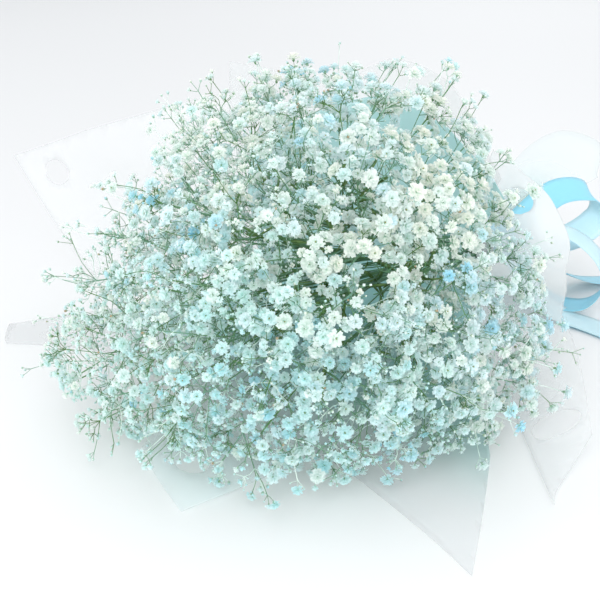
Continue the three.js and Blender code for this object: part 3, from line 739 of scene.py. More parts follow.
def forks_of(line, sprays):
    """A twig to each spray, leaving the line a little before the point that is nearest to it."""
    first, second = np.linalg.norm(line[1] - line[0]), np.linalg.norm(line[2] - line[1])
    whole = first + second

    def at(s):
        if s < first:
            return line[0] + (line[1] - line[0]) * s / first
        return line[1] + (line[2] - line[1]) * (s - first) / second

    steps = np.arange(0, whole, FORK_STEP)
    spots = np.array([at(s) for s in steps])
    wanted = []
    for spray in sprays:
        gaps = np.linalg.norm(spots - spray["at"], axis=1)
        k = int(np.argmin(gaps))
        wanted.append((steps[k] - FORK_LEAD * gaps[k], spray))
    wanted.sort(key=lambda pair: pair[0])
    free = 0.0
    twigs = []
    for k, (s, spray) in enumerate(wanted):
        free = max(free, min(s, whole - FORK_APART * len(wanted) + k * FORK_APART))
        root = at(free)
        twigs.append({"spray": spray, "path": [root, neck_of(root, spray)]})
        free += FORK_APART
    return twigs


print("twigs leave their branch at least", FORK_APART, "mm apart")

# %% Branches of a stem
STRAIGHT_RUN = 62.0
CROWN_DEPTH, HUB_DEPTH = 0.49, 0.66
FIRST_JOINT = 0.39
ELBOW_SHARE, ELBOW_LEAN = 0.45, 0.1
BEND_POINTS = np.linspace(0.2, 1, 5)


def grow_stem(stem):
    slot = np.array([stem["cut"][0], 0, stem["cut"][2]])
    leaves, heads = slot + [0, -COLLAR, 0], slot + [0, -STRAIGHT_RUN, 0]
    crown = toward_head(np.mean([spray["at"] for spray in stem["sprays"]], axis=0), CROWN_DEPTH)

    def bend(t):
        return leaves * (1 - t) ** 2 + heads * 2 * t * (1 - t) + crown * t * t

    groups = [(g, toward_head(np.mean([s["at"] for s in g], axis=0), HUB_DEPTH))
              for g in stem["groups"]]
    groups.sort(key=lambda pair: -np.linalg.norm(pair[1] - crown))
    branches = []
    for k, (group, hub) in enumerate(groups):
        last = k == len(groups) - 1
        share = 1.0 if last else FIRST_JOINT + (1.0 - FIRST_JOINT) * k / (len(groups) - 1)
        joint = bend(share)
        tangent = unit(bend(min(share + 0.01, 1.01)) - bend(share - 0.01))
        elbow = joint + (hub - joint) * ELBOW_SHARE
        elbow = elbow + tangent * ELBOW_LEAN * np.linalg.norm(hub - joint)
        leader = max(group, key=lambda spray: np.linalg.norm(spray["at"] - joint))
        neck = neck_of(hub, leader)
        start = [stem["cut"], leaves, *(bend(t) for t in BEND_POINTS)] if last else [joint]
        others = [spray for spray in group if spray is not leader]
        branches.append({
            "path": [*start, elbow, hub, neck], "spray": leader, "main": last,
            "twigs": forks_of([elbow, hub, neck], others),
        })
    return branches


for stem in stems:
    stem["branches"] = grow_stem(stem)
print("branches:", sum(len(stem["branches"]) for stem in stems))

# %% [markdown]
# ## Lines with a thickness
#
# Every stalk, branch, twig and flower stalk is the same kind of thing: a line that carries its own
# thickness. We collect the lines as plain points and edges with two attributes, girth and pale, and
# let one Geometry Nodes tree turn them into tubes. A line is rounded first, because stems bend, and
# it is thickened a little at its ends, where gypsophila has small knots.

# %% Collect lines
KNOT_GIRTH = 1.45
POINT_EVERY = {"branch": 12, "twig": 10, "inner": 14, "shoot": 9}


class Lines:
    """Points and edges, with the thickness and the paleness at every point."""
    def __init__(self):
        self.points, self.edges, self.girths, self.pales = [], [], [], []

    def add(self, path, first, last, pale=0.0, knots=(1.0, 1.0)):
        start = len(self.points)
        count = len(path)
        for k, point in enumerate(path):
            swell = knots[0] if k == 0 else knots[1] if k == count - 1 else 1.0
            self.points.append(point)
            self.girths.append((first + (last - first) * k / (count - 1)) * MM * swell)
            self.pales.append(pale)
        self.edges += [(start + k, start + k + 1) for k in range(count - 1)]


def rounded(path, step):
    """A smooth line through the points, with a point about every step millimetres."""
    path = [np.asarray(p, float) for p in path]
    ghost = [2 * path[0] - path[1], *path, 2 * path[-1] - path[-2]]
    out = []
    for k in range(1, len(ghost) - 2):
        a, b, c, d = ghost[k - 1:k + 3]
        pieces = max(2, int(np.linalg.norm(c - b) / step))
        for t in np.arange(pieces) / pieces:
            out.append(0.5 * (2 * b + (c - a) * t + (2 * a - 5 * b + 4 * c - d) * t * t
                              + (3 * b - a - 3 * c + d) * t ** 3))
    out.append(path[-1])
    return out


line = rounded([[0, 0, 0], [0, 100, 0]], POINT_EVERY["shoot"])
print("a straight shoot of 100 mm would get", len(line), "points")

# %% [markdown]
# ## A spray of real florets
#
# Gypsophila forks by one rule. A stalk ends in a floret, and just below it two side stalks grow out
# and do the same again, each time shorter and turned a quarter round. The double kinds are so crowded
# that we let three grow at each fork. The first florets of a spray are the oldest and fully open, and
# the last are still buds. We grow such a spray at every place read from the CAD. The side that faced
# the light has opened further: its florets are larger.

# %% How far the florets have opened
SUNNY_SIDE = np.array([0.68, 0.30, 0.30])
HEAD_REACH = 130.0
OLDEST_SPRAYS, OLDEST_REACH = np.array([122.0, -240.0, 150.0]), 42.0
OPEN_PATCH, OPEN_SHIFT = 45.0, Vector((7, 3, 5))
OPENNESS = {"middle": 0.47, "sun": 0.48, "patch": 0.5, "age": 0.45}
PALE_TWIGS, PALE_OUTSIDE, PALE_FROM = 0.1, 0.3, 0.3


def oldest_share(point):
    return math.exp(-(np.linalg.norm(point - OLDEST_SPRAYS) / OLDEST_REACH) ** 2)


def openness(point):
    """From 0 on the side where most is still in bud, to 1 where nearly all florets are open."""
    sun = float(np.dot(point - HEAD_CENTRE, SUNNY_SIDE)) / HEAD_REACH
    patch = noise.noise(Vector(point / OPEN_PATCH) + OPEN_SHIFT)
    here = OPENNESS["middle"] + OPENNESS["sun"] * sun + OPENNESS["patch"] * patch
    return min(1.0, max(0.0, here + OPENNESS["age"] * oldest_share(point)))


def pale_here(point, rng):
    """1 for a twig that took the dye and 0 for a green one; more of the outer ones are dyed."""
    outer = np.linalg.norm(point - OLDEST_SPRAYS) / HEAD_REACH - PALE_FROM
    return float(rng.random() < PALE_TWIGS + PALE_OUTSIDE * min(1.0, max(0.0, outer)))


print("openness at the head's centre:", round(openness(HEAD_CENTRE), 2))

# %% A floret or bud on its stalk
LARGE_KINDS, SMALL_KIND = 2, 2
YOUNG, BUD = 3, 4
FLORET_SIZES = {"open": (3.0, 5.0), "young": (1.7, 2.7), "bud": (0.6, 1.2)}
SMALL_OPEN = 3.4
OPEN_LEAST, OPEN_GAIN = 0.45, 0.75
SIZE_LEAST, SIZE_GAIN = 0.72, 0.34
FACES_OUT = 0.6


def tilted(way, tilt, turn):
    across, over = square_to(way)
    side = across * math.cos(turn) + over * math.sin(turn)
    return unit(way * math.cos(tilt) + side * math.sin(tilt))


def drawn_angle(rng, degrees):
    return math.radians(rng.uniform(*degrees))


def bloom(stem, root, way, length, chances, pale, rng):
    """A stalk from root with a floret or bud on it; chances are those of open and of young."""
    at = root + way * length
    open_here = openness(at)
    draw = rng.random()
    if draw < chances[0] * (OPEN_LEAST + OPEN_GAIN * open_here):
        size = rng.uniform(*FLORET_SIZES["open"]) * (SIZE_LEAST + SIZE_GAIN * open_here)
        kind = int(rng.integers(0, LARGE_KINDS)) if size > SMALL_OPEN else SMALL_KIND
    elif draw < chances[0] + chances[1]:
        kind, size = YOUNG, rng.uniform(*FLORET_SIZES["young"])
    else:
        kind, size = BUD, rng.uniform(*FLORET_SIZES["bud"])
    facing = unit(way + FACES_OUT * unit(at - HEAD_CENTRE))
    stem["blooms"].append({"root": root, "at": at, "facing": facing, "kind": kind,
                           "size": size, "pale": pale})


print("floret sizes:", FLORET_SIZES)

# %% Grow by forking
MIDDLE_STALK, LONGEST_MIDDLE, MIDDLE_CHANCES = (0.7, 1.1), 7.0, (0.8, 0.14)
SIDE_STALK, SIDE_CHANCES = (0.6, 1.25), (0.36, 0.22)
LATE_BUDS, LATE_STALK, LATE_LEAN, LATE_CHANCES = 0.75, (0.5, 1.3), (15, 50), (0, 0)
FORK_ANGLE, FORK_TURN = (30, 56), (-0.3, 0.3)
ARMS = 3
ARM_LENGTH, SHORTER, ARM_BOW = (0.8, 1.15), 0.72, 0.15
ARM_GIRTH, OLDER_GIRTH, GIRTH_LOSS = 0.21, 0.04, 0.03
NEXT_STRAIGHTENS, NEXT_TURN = 0.25, (-0.5, 0.5)
FIRST_FORK = 0.66


def last_florets(stem, node, side, length, pale, rng):
    """The end of a side stalk: a floret, and often a late bud beside it."""
    bloom(stem, node, side, rng.uniform(*SIDE_STALK) * length, SIDE_CHANCES, pale, rng)
    if rng.random() < LATE_BUDS:
        late = tilted(side, drawn_angle(rng, LATE_LEAN), rng.uniform(0, 2 * math.pi))
        bloom(stem, node, late, rng.uniform(*LATE_STALK) * length, LATE_CHANCES, pale, rng)


def fork(stem, node, way, length, depth, turn, pale, rng):
    """A floret on the middle stalk, and arms that fork again."""
    middle = rng.uniform(*MIDDLE_STALK) * min(length, LONGEST_MIDDLE)
    bloom(stem, node, way, middle, MIDDLE_CHANCES, pale, rng)
    for k in range(ARMS):
        lean = drawn_angle(rng, FORK_ANGLE)
        side = tilted(way, lean, turn + 2 * math.pi * k / ARMS + rng.uniform(*FORK_TURN))
        if depth == 0:
            last_florets(stem, node, side, length, pale, rng)
            continue
        end = node + side * length * rng.uniform(*ARM_LENGTH)
        girth = ARM_GIRTH + OLDER_GIRTH * depth
        path = [node, (node + end) / 2 + way * length * ARM_BOW, end]
        stem["fine"].add(path, girth, girth - GIRTH_LOSS, pale, (1.0, KNOT_GIRTH))
        next_way = unit(side + NEXT_STRAIGHTENS * way)
        next_turn = turn + math.pi / 2 + rng.uniform(*NEXT_TURN)
        fork(stem, end, next_way, length * SHORTER, depth - 1, next_turn, pale, rng)


for number, stem in enumerate(stems):
    rng = np.random.default_rng(700 + number)
    stem["fine"], stem["blooms"] = Lines(), []
    necks = [(b["path"][-1], b["spray"]) for b in stem["branches"]]
    necks += [(t["path"][-1], t["spray"]) for b in stem["branches"] for t in b["twigs"]]
    for neck, spray in necks:
        turn = rng.uniform(0, 2 * math.pi)
        length, pale = spray["size"] * FIRST_FORK, pale_here(neck, rng)
        fork(stem, neck, spray["facing"], length, 1, turn, pale, rng)
print("florets and buds on the surface:", sum(len(stem["blooms"]) for stem in stems))

# %% [markdown]
# ## Side shoots in the depth, and wisps
#
# Between the sprays one looks into the head, at twigs with younger florets and many buds. We fill that
# depth with inner branches, and with clumps of shoots that leave the nearest line behind them. Points
# for the shoots are drawn at random under the surface. A point is dropped if it is too near to another,
# between two clumps, or in the gap where stems lean apart. Near the top more than half of the points
# are dropped, because the highest sprays stand free. A few long shoots, the wisps, grow past the
# surface. They give the soft outline that the real flower has.

# %% Inner branches, and all the spots a shoot can start from
INNER_BRANCHES = 11
INNER_ROOTS = (3, 7)
INNER_DEPTHS, INNER_SPREAD, INNER_BOW = (0.4, 0.75), 12, 3
INNER_STARTS = np.linspace(0, 1, 8)
START_STEP = 4

line_spots, line_stems = [], []


def add_starts(number, a, b, shares):
    for t in shares:
        line_spots.append(a + (b - a) * t)
        line_stems.append(number)


for number, stem in enumerate(stems):
    rng = np.random.default_rng(500 + number)
    stem["inner"] = []
    main_path = stem["branches"][-1]["path"]
    for _ in range(INNER_BRANCHES):
        root = main_path[int(rng.integers(*INNER_ROOTS))]
        spray = stem["sprays"][int(rng.integers(len(stem["sprays"])))]
        tip = toward_head(spray["at"] + rng.normal(0, INNER_SPREAD, 3), rng.uniform(*INNER_DEPTHS))
        bow = (root + tip) / 2 + rng.normal(0, INNER_BOW, 3) + [0, -INNER_BOW, 0]
        stem["inner"].append([root, bow, tip])
        add_starts(number, bow, tip, INNER_STARTS)
    for branch in stem["branches"]:
        paths = [branch["path"][-3:] if branch["main"] else branch["path"]]
        paths += [twig["path"] for twig in branch["twigs"]]
        for path in paths:
            for a, b in zip(path, path[1:]):
                count = max(2, int(np.linalg.norm(b - a) / START_STEP))
                add_starts(number, a, b, np.linspace(0, 1, count))
line_spots, line_stems = np.array(line_spots), np.array(line_stems)
spray_spots = np.array([spray["at"] for stem in stems for spray in stem["sprays"]])
print("inner branches:", INNER_BRANCHES * len(stems), "starts:", len(line_spots))

# %% Where a shoot may grow, and from where
GAP_MOUTH, GAP_END = np.array([107.0, -262.0, 121.0]), np.array([54.0, -198.0, 86.0])
GAP_RADIUS = 10.5
GAP_BEFORE = -0.5
SHOOT_LENGTHS = (5.0, 34.0)
LEAST_LEAN = 0.15


def in_gap(point):
    """Where stems lean apart, one looks past them into the dark inside of the head."""
    run = GAP_END - GAP_MOUTH
    along_gap = float(np.clip((point - GAP_MOUTH) @ run / (run @ run), GAP_BEFORE, 1))
    return np.linalg.norm(point - GAP_MOUTH - run * along_gap) < GAP_RADIUS


def root_for(point):
    """The nearest spot on a line from which a shoot to the point would lean outward."""
    gap = point - line_spots
    far = np.linalg.norm(gap, axis=1)
    outward = unit(point - HEAD_CENTRE)
    lean = gap @ outward / np.maximum(far, 1e-6)
    far = np.where((lean > LEAST_LEAN) & (far > SHOOT_LENGTHS[0]), far, NO_LIMIT)
    k = int(np.argmin(far))
    return k if far[k] < SHOOT_LENGTHS[1] else None


print("a shoot is", SHOOT_LENGTHS[0], "to", SHOOT_LENGTHS[1], "mm long")

# %% A shoot with its florets
SHOOT = {"stalk": (4, 7), "chances": (0.5, 0.3), "arms": (2, 4), "lean": (30, 70),
         "arm_stalk": (4, 9), "arm_chances": (0.16, 0.22)}
WISP = {"stalk": (3.5, 7), "chances": (0.4, 0.15), "arms": (2, 3), "lean": (28, 60),
        "arm_stalk": (4, 8), "arm_chances": (0.15, 0.15)}
SHOOT_SAG = (0.04, 0.16)
SHOOT_GIRTH = (0.28, 0.2)
STRAIGHTENS = 0.5


def grow_shoot(k, end, form, rng):
    """A shoot from the k-th start to its end, with one floret on its tip and the others on arms."""
    stem, root = stems[line_stems[k]], line_spots[k]
    pale = pale_here(end, rng)
    way = unit(unit(end - root) + STRAIGHTENS * unit(end - HEAD_CENTRE))
    across, over = square_to(unit(end - root))
    turn = rng.uniform(0, 2 * math.pi)
    sag = np.linalg.norm(end - root) * rng.uniform(*SHOOT_SAG)
    bow = (root + end) / 2 + (across * math.cos(turn) + over * math.sin(turn)) * sag
    line = rounded([root, bow, end], POINT_EVERY["shoot"])
    stem["fine"].add(line, *SHOOT_GIRTH, pale, (1.0, KNOT_GIRTH))
    arms = int(rng.integers(*form["arms"]))
    turn = rng.uniform(0, 2 * math.pi)
    bloom(stem, end, way, rng.uniform(*form["stalk"]), form["chances"], pale, rng)
    for arm in range(arms):
        side = tilted(way, drawn_angle(rng, form["lean"]), turn + 2 * math.pi * arm / arms)
        bloom(stem, end, side, rng.uniform(*form["arm_stalk"]), form["arm_chances"], pale, rng)


print("the arms of a shoot lean out by", SHOOT["lean"], "degrees, those of a wisp by", WISP["lean"])

# %% Shoots in the depth
SHOOT_TRIES = 7000
SHOOT_DEPTHS, SHOOT_SPREAD = (0.5, 0.98), 11
SHOOT_APART, SHOOT_ROOM = 9.6, 3.0
CLUMP_SIZE, CLUMP_EDGE, CLUMP_FILL = 14.0, -0.12, 0.3
CROWN_FROM, CROWN_AIRY = 150.0, 0.55

rng = np.random.default_rng(17)
taken = np.full((SHOOT_TRIES, 3), NO_LIMIT)
shoots = 0
for _ in range(SHOOT_TRIES):
    spot = spray_spots[int(rng.integers(len(spray_spots)))] + rng.normal(0, SHOOT_SPREAD, 3)
    point = settled(toward_head(spot, rng.uniform(*SHOOT_DEPTHS)), SHOOT_ROOM)
    clump = noise.noise(Vector(point / CLUMP_SIZE)) + CLUMP_FILL * oldest_share(point)
    if clump < CLUMP_EDGE or in_gap(point):
        continue
    if point[2] > CROWN_FROM and rng.random() < CROWN_AIRY:
        continue
    if np.linalg.norm(taken[:shoots + 1] - point, axis=1).min() < SHOOT_APART:
        continue
    k = root_for(point)
    if k is None:
        continue
    taken[shoots] = point
    shoots += 1
    grow_shoot(k, point, SHOOT, rng)
print("shoots:", shoots)

# %% Wisps past the surface
WISPS = 230
WISP_REACH, WISP_LEAN, WISP_ASIDE = (4.0, 16.0), (0, 55), 8
WISP_LOWEST = 26.0
WISP_ROOM, WISP_MOVE = 2.0, 1.0

grown_wisps = 0
for _ in range(WISPS):
    spray = spray_spots[int(rng.integers(len(spray_spots)))]
    outward = unit(spray - HEAD_CENTRE)
    aside = tilted(outward, drawn_angle(rng, WISP_LEAN), rng.uniform(0, 2 * math.pi))
    end = spray + aside * WISP_ASIDE
    end = end + outward * rng.uniform(*WISP_REACH)
    k = root_for(end)
    if k is None or end[2] < WISP_LOWEST:
        continue
    if np.linalg.norm(settled(end, WISP_ROOM) - end) > WISP_MOVE:
        continue
    grow_shoot(k, end, WISP, rng)
    grown_wisps += 1

for stem in stems:
    stem["blooms"] = [b for b in stem["blooms"] if not in_gap(b["at"])]
blooms = [b for stem in stems for b in stem["blooms"]]
print("wisps:", grown_wisps)
print("florets:", sum(b["kind"] != BUD for b in blooms), "buds:", sum(b["kind"] == BUD for b in blooms))

# %% [markdown]
# ## Room for every floret
#
# Florets that overlap too much are pushed a little apart, and each is then kept clear of the wrap
# and the table. Buds are so small that they find their own room.

# %% Push florets apart
PUSHES, PUSH_SHARE = 8, 0.4
OVERLAP = 0.84

florets = [b for b in blooms if b["kind"] != BUD]
places = np.array([b["at"] for b in florets])
sizes = np.array([b["size"] for b in florets])
reach = 2 * OVERLAP * sizes.max()
for _ in range(PUSHES):
    near = kdtree.KDTree(len(florets))
    for k, place in enumerate(places):
        near.insert(place, k)
    near.balance()
    moved = places.copy()
    for k, place in enumerate(places):
        for other, j, gap in near.find_range(place, reach):
            lack = OVERLAP * (sizes[k] + sizes[j]) - gap
            if lack > 0 and gap > 0:
                moved[k] += PUSH_SHARE * lack * (place - np.array(other)) / gap
    places = moved
for place, b in zip(places, florets):
    b["at"] = settled(place, b["size"])
for b in blooms:
    if b["kind"] == BUD:
        b["at"] = settled(b["at"], b["size"])
moves = [np.linalg.norm(p - b["at"]) for p, b in zip(places, florets)]
print("florets kept off the wrap:", sum(m > 0.1 for m in moves))

# %% [markdown]
# ## The dye
#
# The dye was sprayed from a few directions, so it lies in soft patches. A floret's colour starts
# from slow noise through the head, with small sky blue patches from a faster noise, and is pulled
# towards sky blue, cream, mint or a withered tan near a few spots. A few buds have faded to brown.

# %% The dyes, and the spots they were sprayed on
DYES = {
    "cream": np.array([0.925, 0.92, 0.865]),
    "ice": np.array([0.82, 0.90, 0.94]),
    "sky": np.array([0.38, 0.75, 0.91]),
    "mint": np.array([0.735, 0.90, 0.88]),
    "aqua": np.array([0.58, 0.86, 0.91]),
    "withered": np.array([0.80, 0.71, 0.58]),
}
DYE_SPOTS = [
    ("sky", (13, -340, 160), 12), ("sky", (-18, -198, 206), 9), ("sky", (62, -245, 207), 8),
    ("sky", (150, -244, 127), 12), ("sky", (147, -203, 87), 15), ("sky", (141, -272, 27), 18),
    ("sky", (41, -336, 148), 11), ("sky", (90, -330, 60), 16),
    ("cream", (115, -279, 146), 34), ("cream", (131, -234, 167), 34), ("cream", (97, -200, 183), 36),
    ("cream", (127, -242, 142), 26), ("cream", (50, -311, 168), 22), ("cream", (154, -218, 66), 26),
    ("cream", (6, -267, 190), 44), ("ice", (60, -240, 200), 40), ("ice", (150, -215, 90), 40),
    ("mint", (-8, -374, 72), 44), ("mint", (19, -358, 33), 44), ("mint", (83, -336, 116), 30),
    ("mint", (140, -268, 45), 40), ("aqua", (90, -326, 42), 62), ("withered", (82, -259, 137), 15),
]
print("dyes:", len(DYES), "spots:", len(DYE_SPOTS))

# %% Tint every floret
PATCH_SIZE, SPRAY_SIZE = 38.0, 13.0
FAST_SHARE, FAST_SHIFT = 0.5, Vector((11, 4, 9))
DYE_SHARES = {"cream": 0.6, "ice": 0.6, "mint": 0.2, "aqua": 0.08, "withered": 0.01, "sky": 0.0}
CREAM_SWING = 1.1
SKY_SWING, SKY_FROM, SKY_MOST = 1.6, 0.34, 0.55
SPOT_PULL, DRAW_LEAST = 1.5, 0.15
FADED = 0.03
FADED_BROWN = np.array([0.60, 0.46, 0.33])


def tint_at(point, rng):
    """A mix of the dyes; every share is also drawn at random, so that neighbours differ."""
    slow = noise.noise(Vector(point / PATCH_SIZE))
    slow = slow + FAST_SHARE * noise.noise(Vector(point / SPRAY_SIZE))
    fast = noise.noise(Vector(point / SPRAY_SIZE) + FAST_SHIFT)
    weights = dict(DYE_SHARES)
    weights["cream"] = max(0.0, weights["cream"] - CREAM_SWING * slow)
    weights["sky"] = min(SKY_MOST, max(0.0, SKY_SWING * fast - SKY_FROM))
    for dye, spot, reach in DYE_SPOTS:
        weights[dye] += SPOT_PULL * math.exp(-(np.linalg.norm(point - np.array(spot)) / reach) ** 2)
    for dye in weights:
        weights[dye] *= DRAW_LEAST + rng.exponential(1.0)
    total = sum(weights.values())
    return sum(weights[dye] * colour for dye, colour in DYES.items()) / total


rng = np.random.default_rng(41)
for b in blooms:
    faded = rng.random() < FADED and b["kind"] == BUD
    b["tint"] = FADED_BROWN if faded else tint_at(b["at"], rng)
print("mean tint:", np.round(np.mean([b["tint"] for b in blooms], axis=0), 2))

# %% [markdown]
# ## One floret
#
# A double floret is a ruffled ball of blunt petals in three or four rows: the outer row lies nearly
# flat, the next stands up and the inner ones close over the middle, where a few olive stamens show.
# Each petal widens to a blunt tip and is folded along its middle, so four faces are enough for it. A
# small green calyx holds the petals. A small floret has narrower rows, a young one has two rows that
# are still closed, and a bud is a small egg with a coloured tip. They are made once with a radius of
# 1, and copied thousands of times, so they have few faces.
#
# A row of petals is given by its count, how far it opens in degrees, its length and width, and how
# deep it sits. A petal's point is given by how far it is along the petal, across it and up, how much
# the petal's curl and wave lift it, and how near the tip it counts for the colour.

# %% Measures of a floret
WHORLS = {
    "open": [(7, 80, 1.0, 0.66, -0.30), (6, 54, 0.90, 0.60, -0.22), (5, 30, 0.70, 0.46, -0.12),
             (2, 14, 0.5, 0.4, -0.04)],
    "ball": [(7, 84, 1.0, 0.64, -0.30), (6, 56, 0.92, 0.58, -0.2), (5, 26, 0.80, 0.5, -0.1)],
    "small": [(6, 80, 1.0, 0.70, -0.28), (5, 48, 0.92, 0.62, -0.18), (3, 22, 0.7, 0.46, -0.08)],
    "young": [(4, 46, 0.95, 0.7, -0.30), (3, 18, 0.9, 0.62, -0.2)],
}
PETAL = [
    (0.0, 0.0, 0.0, 0, 0, 0.0),
    (0.6, -0.5, 0.1, 0, 1, 0.55), (0.56, 0.0, -0.03, 0, 0, 0.4), (0.6, 0.5, 0.1, 0, -1, 0.55),
    (0.95, -0.34, 0.0, 1, 1, 1.0), (0.93, 0.0, 0.07, 1, 0, 0.8), (0.97, 0.34, 0.0, 1, -1, 1.0),
]
PETAL_FACES = [(0, 2, 1), (0, 3, 2), (1, 2, 5, 4), (2, 3, 6, 5)]
PETAL_FOOT = 0.1
PETAL_TURNS, PETAL_OPENS, PETAL_LENGTHS = (-0.16, 0.16), (-10, 10), (0.84, 1.04)
PETAL_CURL, PETAL_WAVE = (-0.2, 0.12), (-0.12, 0.12)
CALYX = [(-0.66, 0.06), (-0.48, 0.18), (-0.2, 0.16)]
CALYX_TIP, BUD_TIP = 0.5, 0.8
STAMENS = {"turns": (0.0, 2.1, 4.2), "radius": 0.12, "foot": 0.1, "top": 0.32}
BUD_RINGS = [(-1.0, 0.2, 1), (-0.25, 0.8, 0.7), (0.5, 0.7, 0), (1.0, 0.15, 0)]
SIDES = 4
print("petals:", {form: sum(row[0] for row in rows) for form, rows in WHORLS.items()})

# %% Keep a kind, and stack rings of points
kinds = bpy.data.collections.new("floret_kinds")


def keep_kind(name, points, faces, tips, greens, eyes):
    mesh = bpy.data.meshes.new(name)
    mesh.from_pydata([tuple(p) for p in points], [], faces)
    for attribute, values in (("tip", tips), ("green", greens), ("eye", eyes)):
        mesh.attributes.new(attribute, "FLOAT", "POINT").data.foreach_set("value", values)
    kinds.objects.link(bpy.data.objects.new(name, mesh))
    print(name, "has", len(faces), "faces")


def band_faces(start, rings, sides):
    """The faces between rings of points that follow each other."""
    faces = []
    for r in range(rings - 1):
        for k in range(sides):
            a, b = start + r * sides + k, start + r * sides + (k + 1) % sides
            faces.append((a, b, b + sides, a + sides))
    return faces


def stacked_rings(rings, sides):
    points = []
    for height, radius in rings:
        for k in range(sides):
            turn = 2 * math.pi * k / sides
            points.append(np.array([radius * math.cos(turn), radius * math.sin(turn), height]))
    faces = band_faces(0, len(rings), sides)
    faces.append(tuple(range(sides - 1, -1, -1)))
    faces.append(tuple(range((len(rings) - 1) * sides, len(rings) * sides)))
    return points, faces


print("a calyx has", len(stacked_rings(CALYX, SIDES)[1]), "faces")

# %% Model the kinds
def petal_points(row, k, form, rng):
    count, open_angle, length, width, base = WHORLS[form][row]
    turn = 2 * math.pi * (k + 0.5 * row + rng.uniform(*PETAL_TURNS)) / count
    lift = math.radians(open_angle + rng.uniform(*PETAL_OPENS))
    long = length * rng.uniform(*PETAL_LENGTHS)
    curl, wave = rng.uniform(*PETAL_CURL), rng.uniform(*PETAL_WAVE)
    out = np.array([math.cos(turn), math.sin(turn), 0.0])
    side = np.array([-out[1], out[0], 0.0])
    way = out * math.sin(lift) + np.array([0, 0, math.cos(lift)])
    top = -out * math.cos(lift) + np.array([0, 0, math.sin(lift)])
    foot = out * PETAL_FOOT + np.array([0, 0, base])
    return [foot + way * ahead * long + side * width * across + top * (up + curls * curl + waves * wave)
            for ahead, across, up, curls, waves, _ in PETAL]


def model_floret(name, form, rng):
    points, faces = stacked_rings(CALYX, SIDES)
    greens, tips = [1.0] * len(points), [CALYX_TIP] * len(points)
    for row, whorl in enumerate(WHORLS[form]):
        for k in range(whorl[0]):
            faces += [tuple(len(points) + corner for corner in face) for face in PETAL_FACES]
            points += petal_points(row, k, form, rng)
            tips += [point[-1] for point in PETAL]
            greens += [0.0] * len(PETAL)
    eyes = [0.0] * len(points)
    if form == "open":
        start, radius = len(points), STAMENS["radius"]
        for turn in STAMENS["turns"]:
            points.append(np.array([radius * math.cos(turn), radius * math.sin(turn), STAMENS["foot"]]))
        points.append(np.array([0.0, 0.0, STAMENS["top"]]))
        faces += [(start + a, start + (a + 1) % 3, start + 3) for a in range(3)]
        for values, value in ((tips, 0.0), (greens, 0.0), (eyes, 1.0)):
            values += [value] * (len(points) - start)
    keep_kind(name, points, faces, tips, greens, eyes)


rng = np.random.default_rng(5)
for number, form in enumerate(WHORLS):
    model_floret(f"kind_{number}_{form}", form, rng)
points, faces = stacked_rings([ring[:2] for ring in BUD_RINGS], SIDES)
bud_greens = [green for _, _, green in BUD_RINGS for _ in range(SIDES)]
keep_kind("kind_4_bud", points, faces, [BUD_TIP] * len(points), bud_greens, [0.0] * len(points))

# %% [markdown]
# ## Two Geometry Nodes trees
#
# The first tree sweeps a small circle along every line, scaled by the line's girth. The second puts
# one of the floret kinds on every point, turned to the point's facing with a seeded spin. Both end
# the same way, in real geometry with a material on it. Each tree's inputs are set on the modifier by
# the socket's identifier, and the result is turned into a plain mesh.

# %% Start, wire and end a tree
def new_tree(name, inputs, output):
    tree = bpy.data.node_groups.new(name, "GeometryNodeTree")
    keys = {}
    for label, kind in inputs:
        keys[label] = tree.interface.new_socket(name=label, in_out="INPUT", socket_type=kind).identifier
    tree.interface.new_socket(name=output, in_out="OUTPUT", socket_type="NodeSocketGeometry")
    return tree, keys, tree.nodes.new("NodeGroupInput"), tree.nodes.new("NodeGroupOutput")


def named(tree, kind, attribute):
    return add_node(tree, "GeometryNodeInputNamedAttribute", data_type=kind, Name=attribute)


def wire(tree, wires):
    for source, output, target, socket in wires:
        tree.links.new(source.outputs[output], target.inputs[socket])


def end_tree(tree, source, output, entry, leave, result):
    """Make what comes out real, put the finish on it, and hand it out."""
    real = add_node(tree, "GeometryNodeRealizeInstances")
    paint = add_node(tree, "GeometryNodeSetMaterial")
    wire(tree, [
        (source, output, real, "Geometry"), (real, "Geometry", paint, "Geometry"),
        (entry, "Finish", paint, "Material"), (paint, "Geometry", leave, result),
    ])


print("wires at the end of each tree: 4")

# %% Tree for tubes along lines
tube_tree, tube_keys, entry, leave = new_tree(
    "Tubes along lines",
    [("Lines", "NodeSocketGeometry"), ("Sides", "NodeSocketInt"), ("Finish", "NodeSocketMaterial")],
    "Tubes",
)
to_curve = add_node(tube_tree, "GeometryNodeMeshToCurve")
circle = add_node(tube_tree, "GeometryNodeCurvePrimitiveCircle", Radius=1.0)
sweep = add_node(tube_tree, "GeometryNodeCurveToMesh")
sweep.inputs["Fill Caps"].default_value = True
soften = add_node(tube_tree, "GeometryNodeSetShadeSmooth")
wire(tube_tree, [
    (entry, "Lines", to_curve, "Mesh"), (entry, "Sides", circle, "Resolution"),
    (to_curve, "Curve", sweep, "Curve"), (circle, "Curve", sweep, "Profile Curve"),
    (named(tube_tree, "FLOAT", "girth"), "Attribute", sweep, "Scale"),
    (sweep, "Mesh", soften, "Geometry"),
])
end_tree(tube_tree, soften, "Geometry", entry, leave, "Tubes")
print("tube tree:", len(tube_tree.nodes), "nodes")

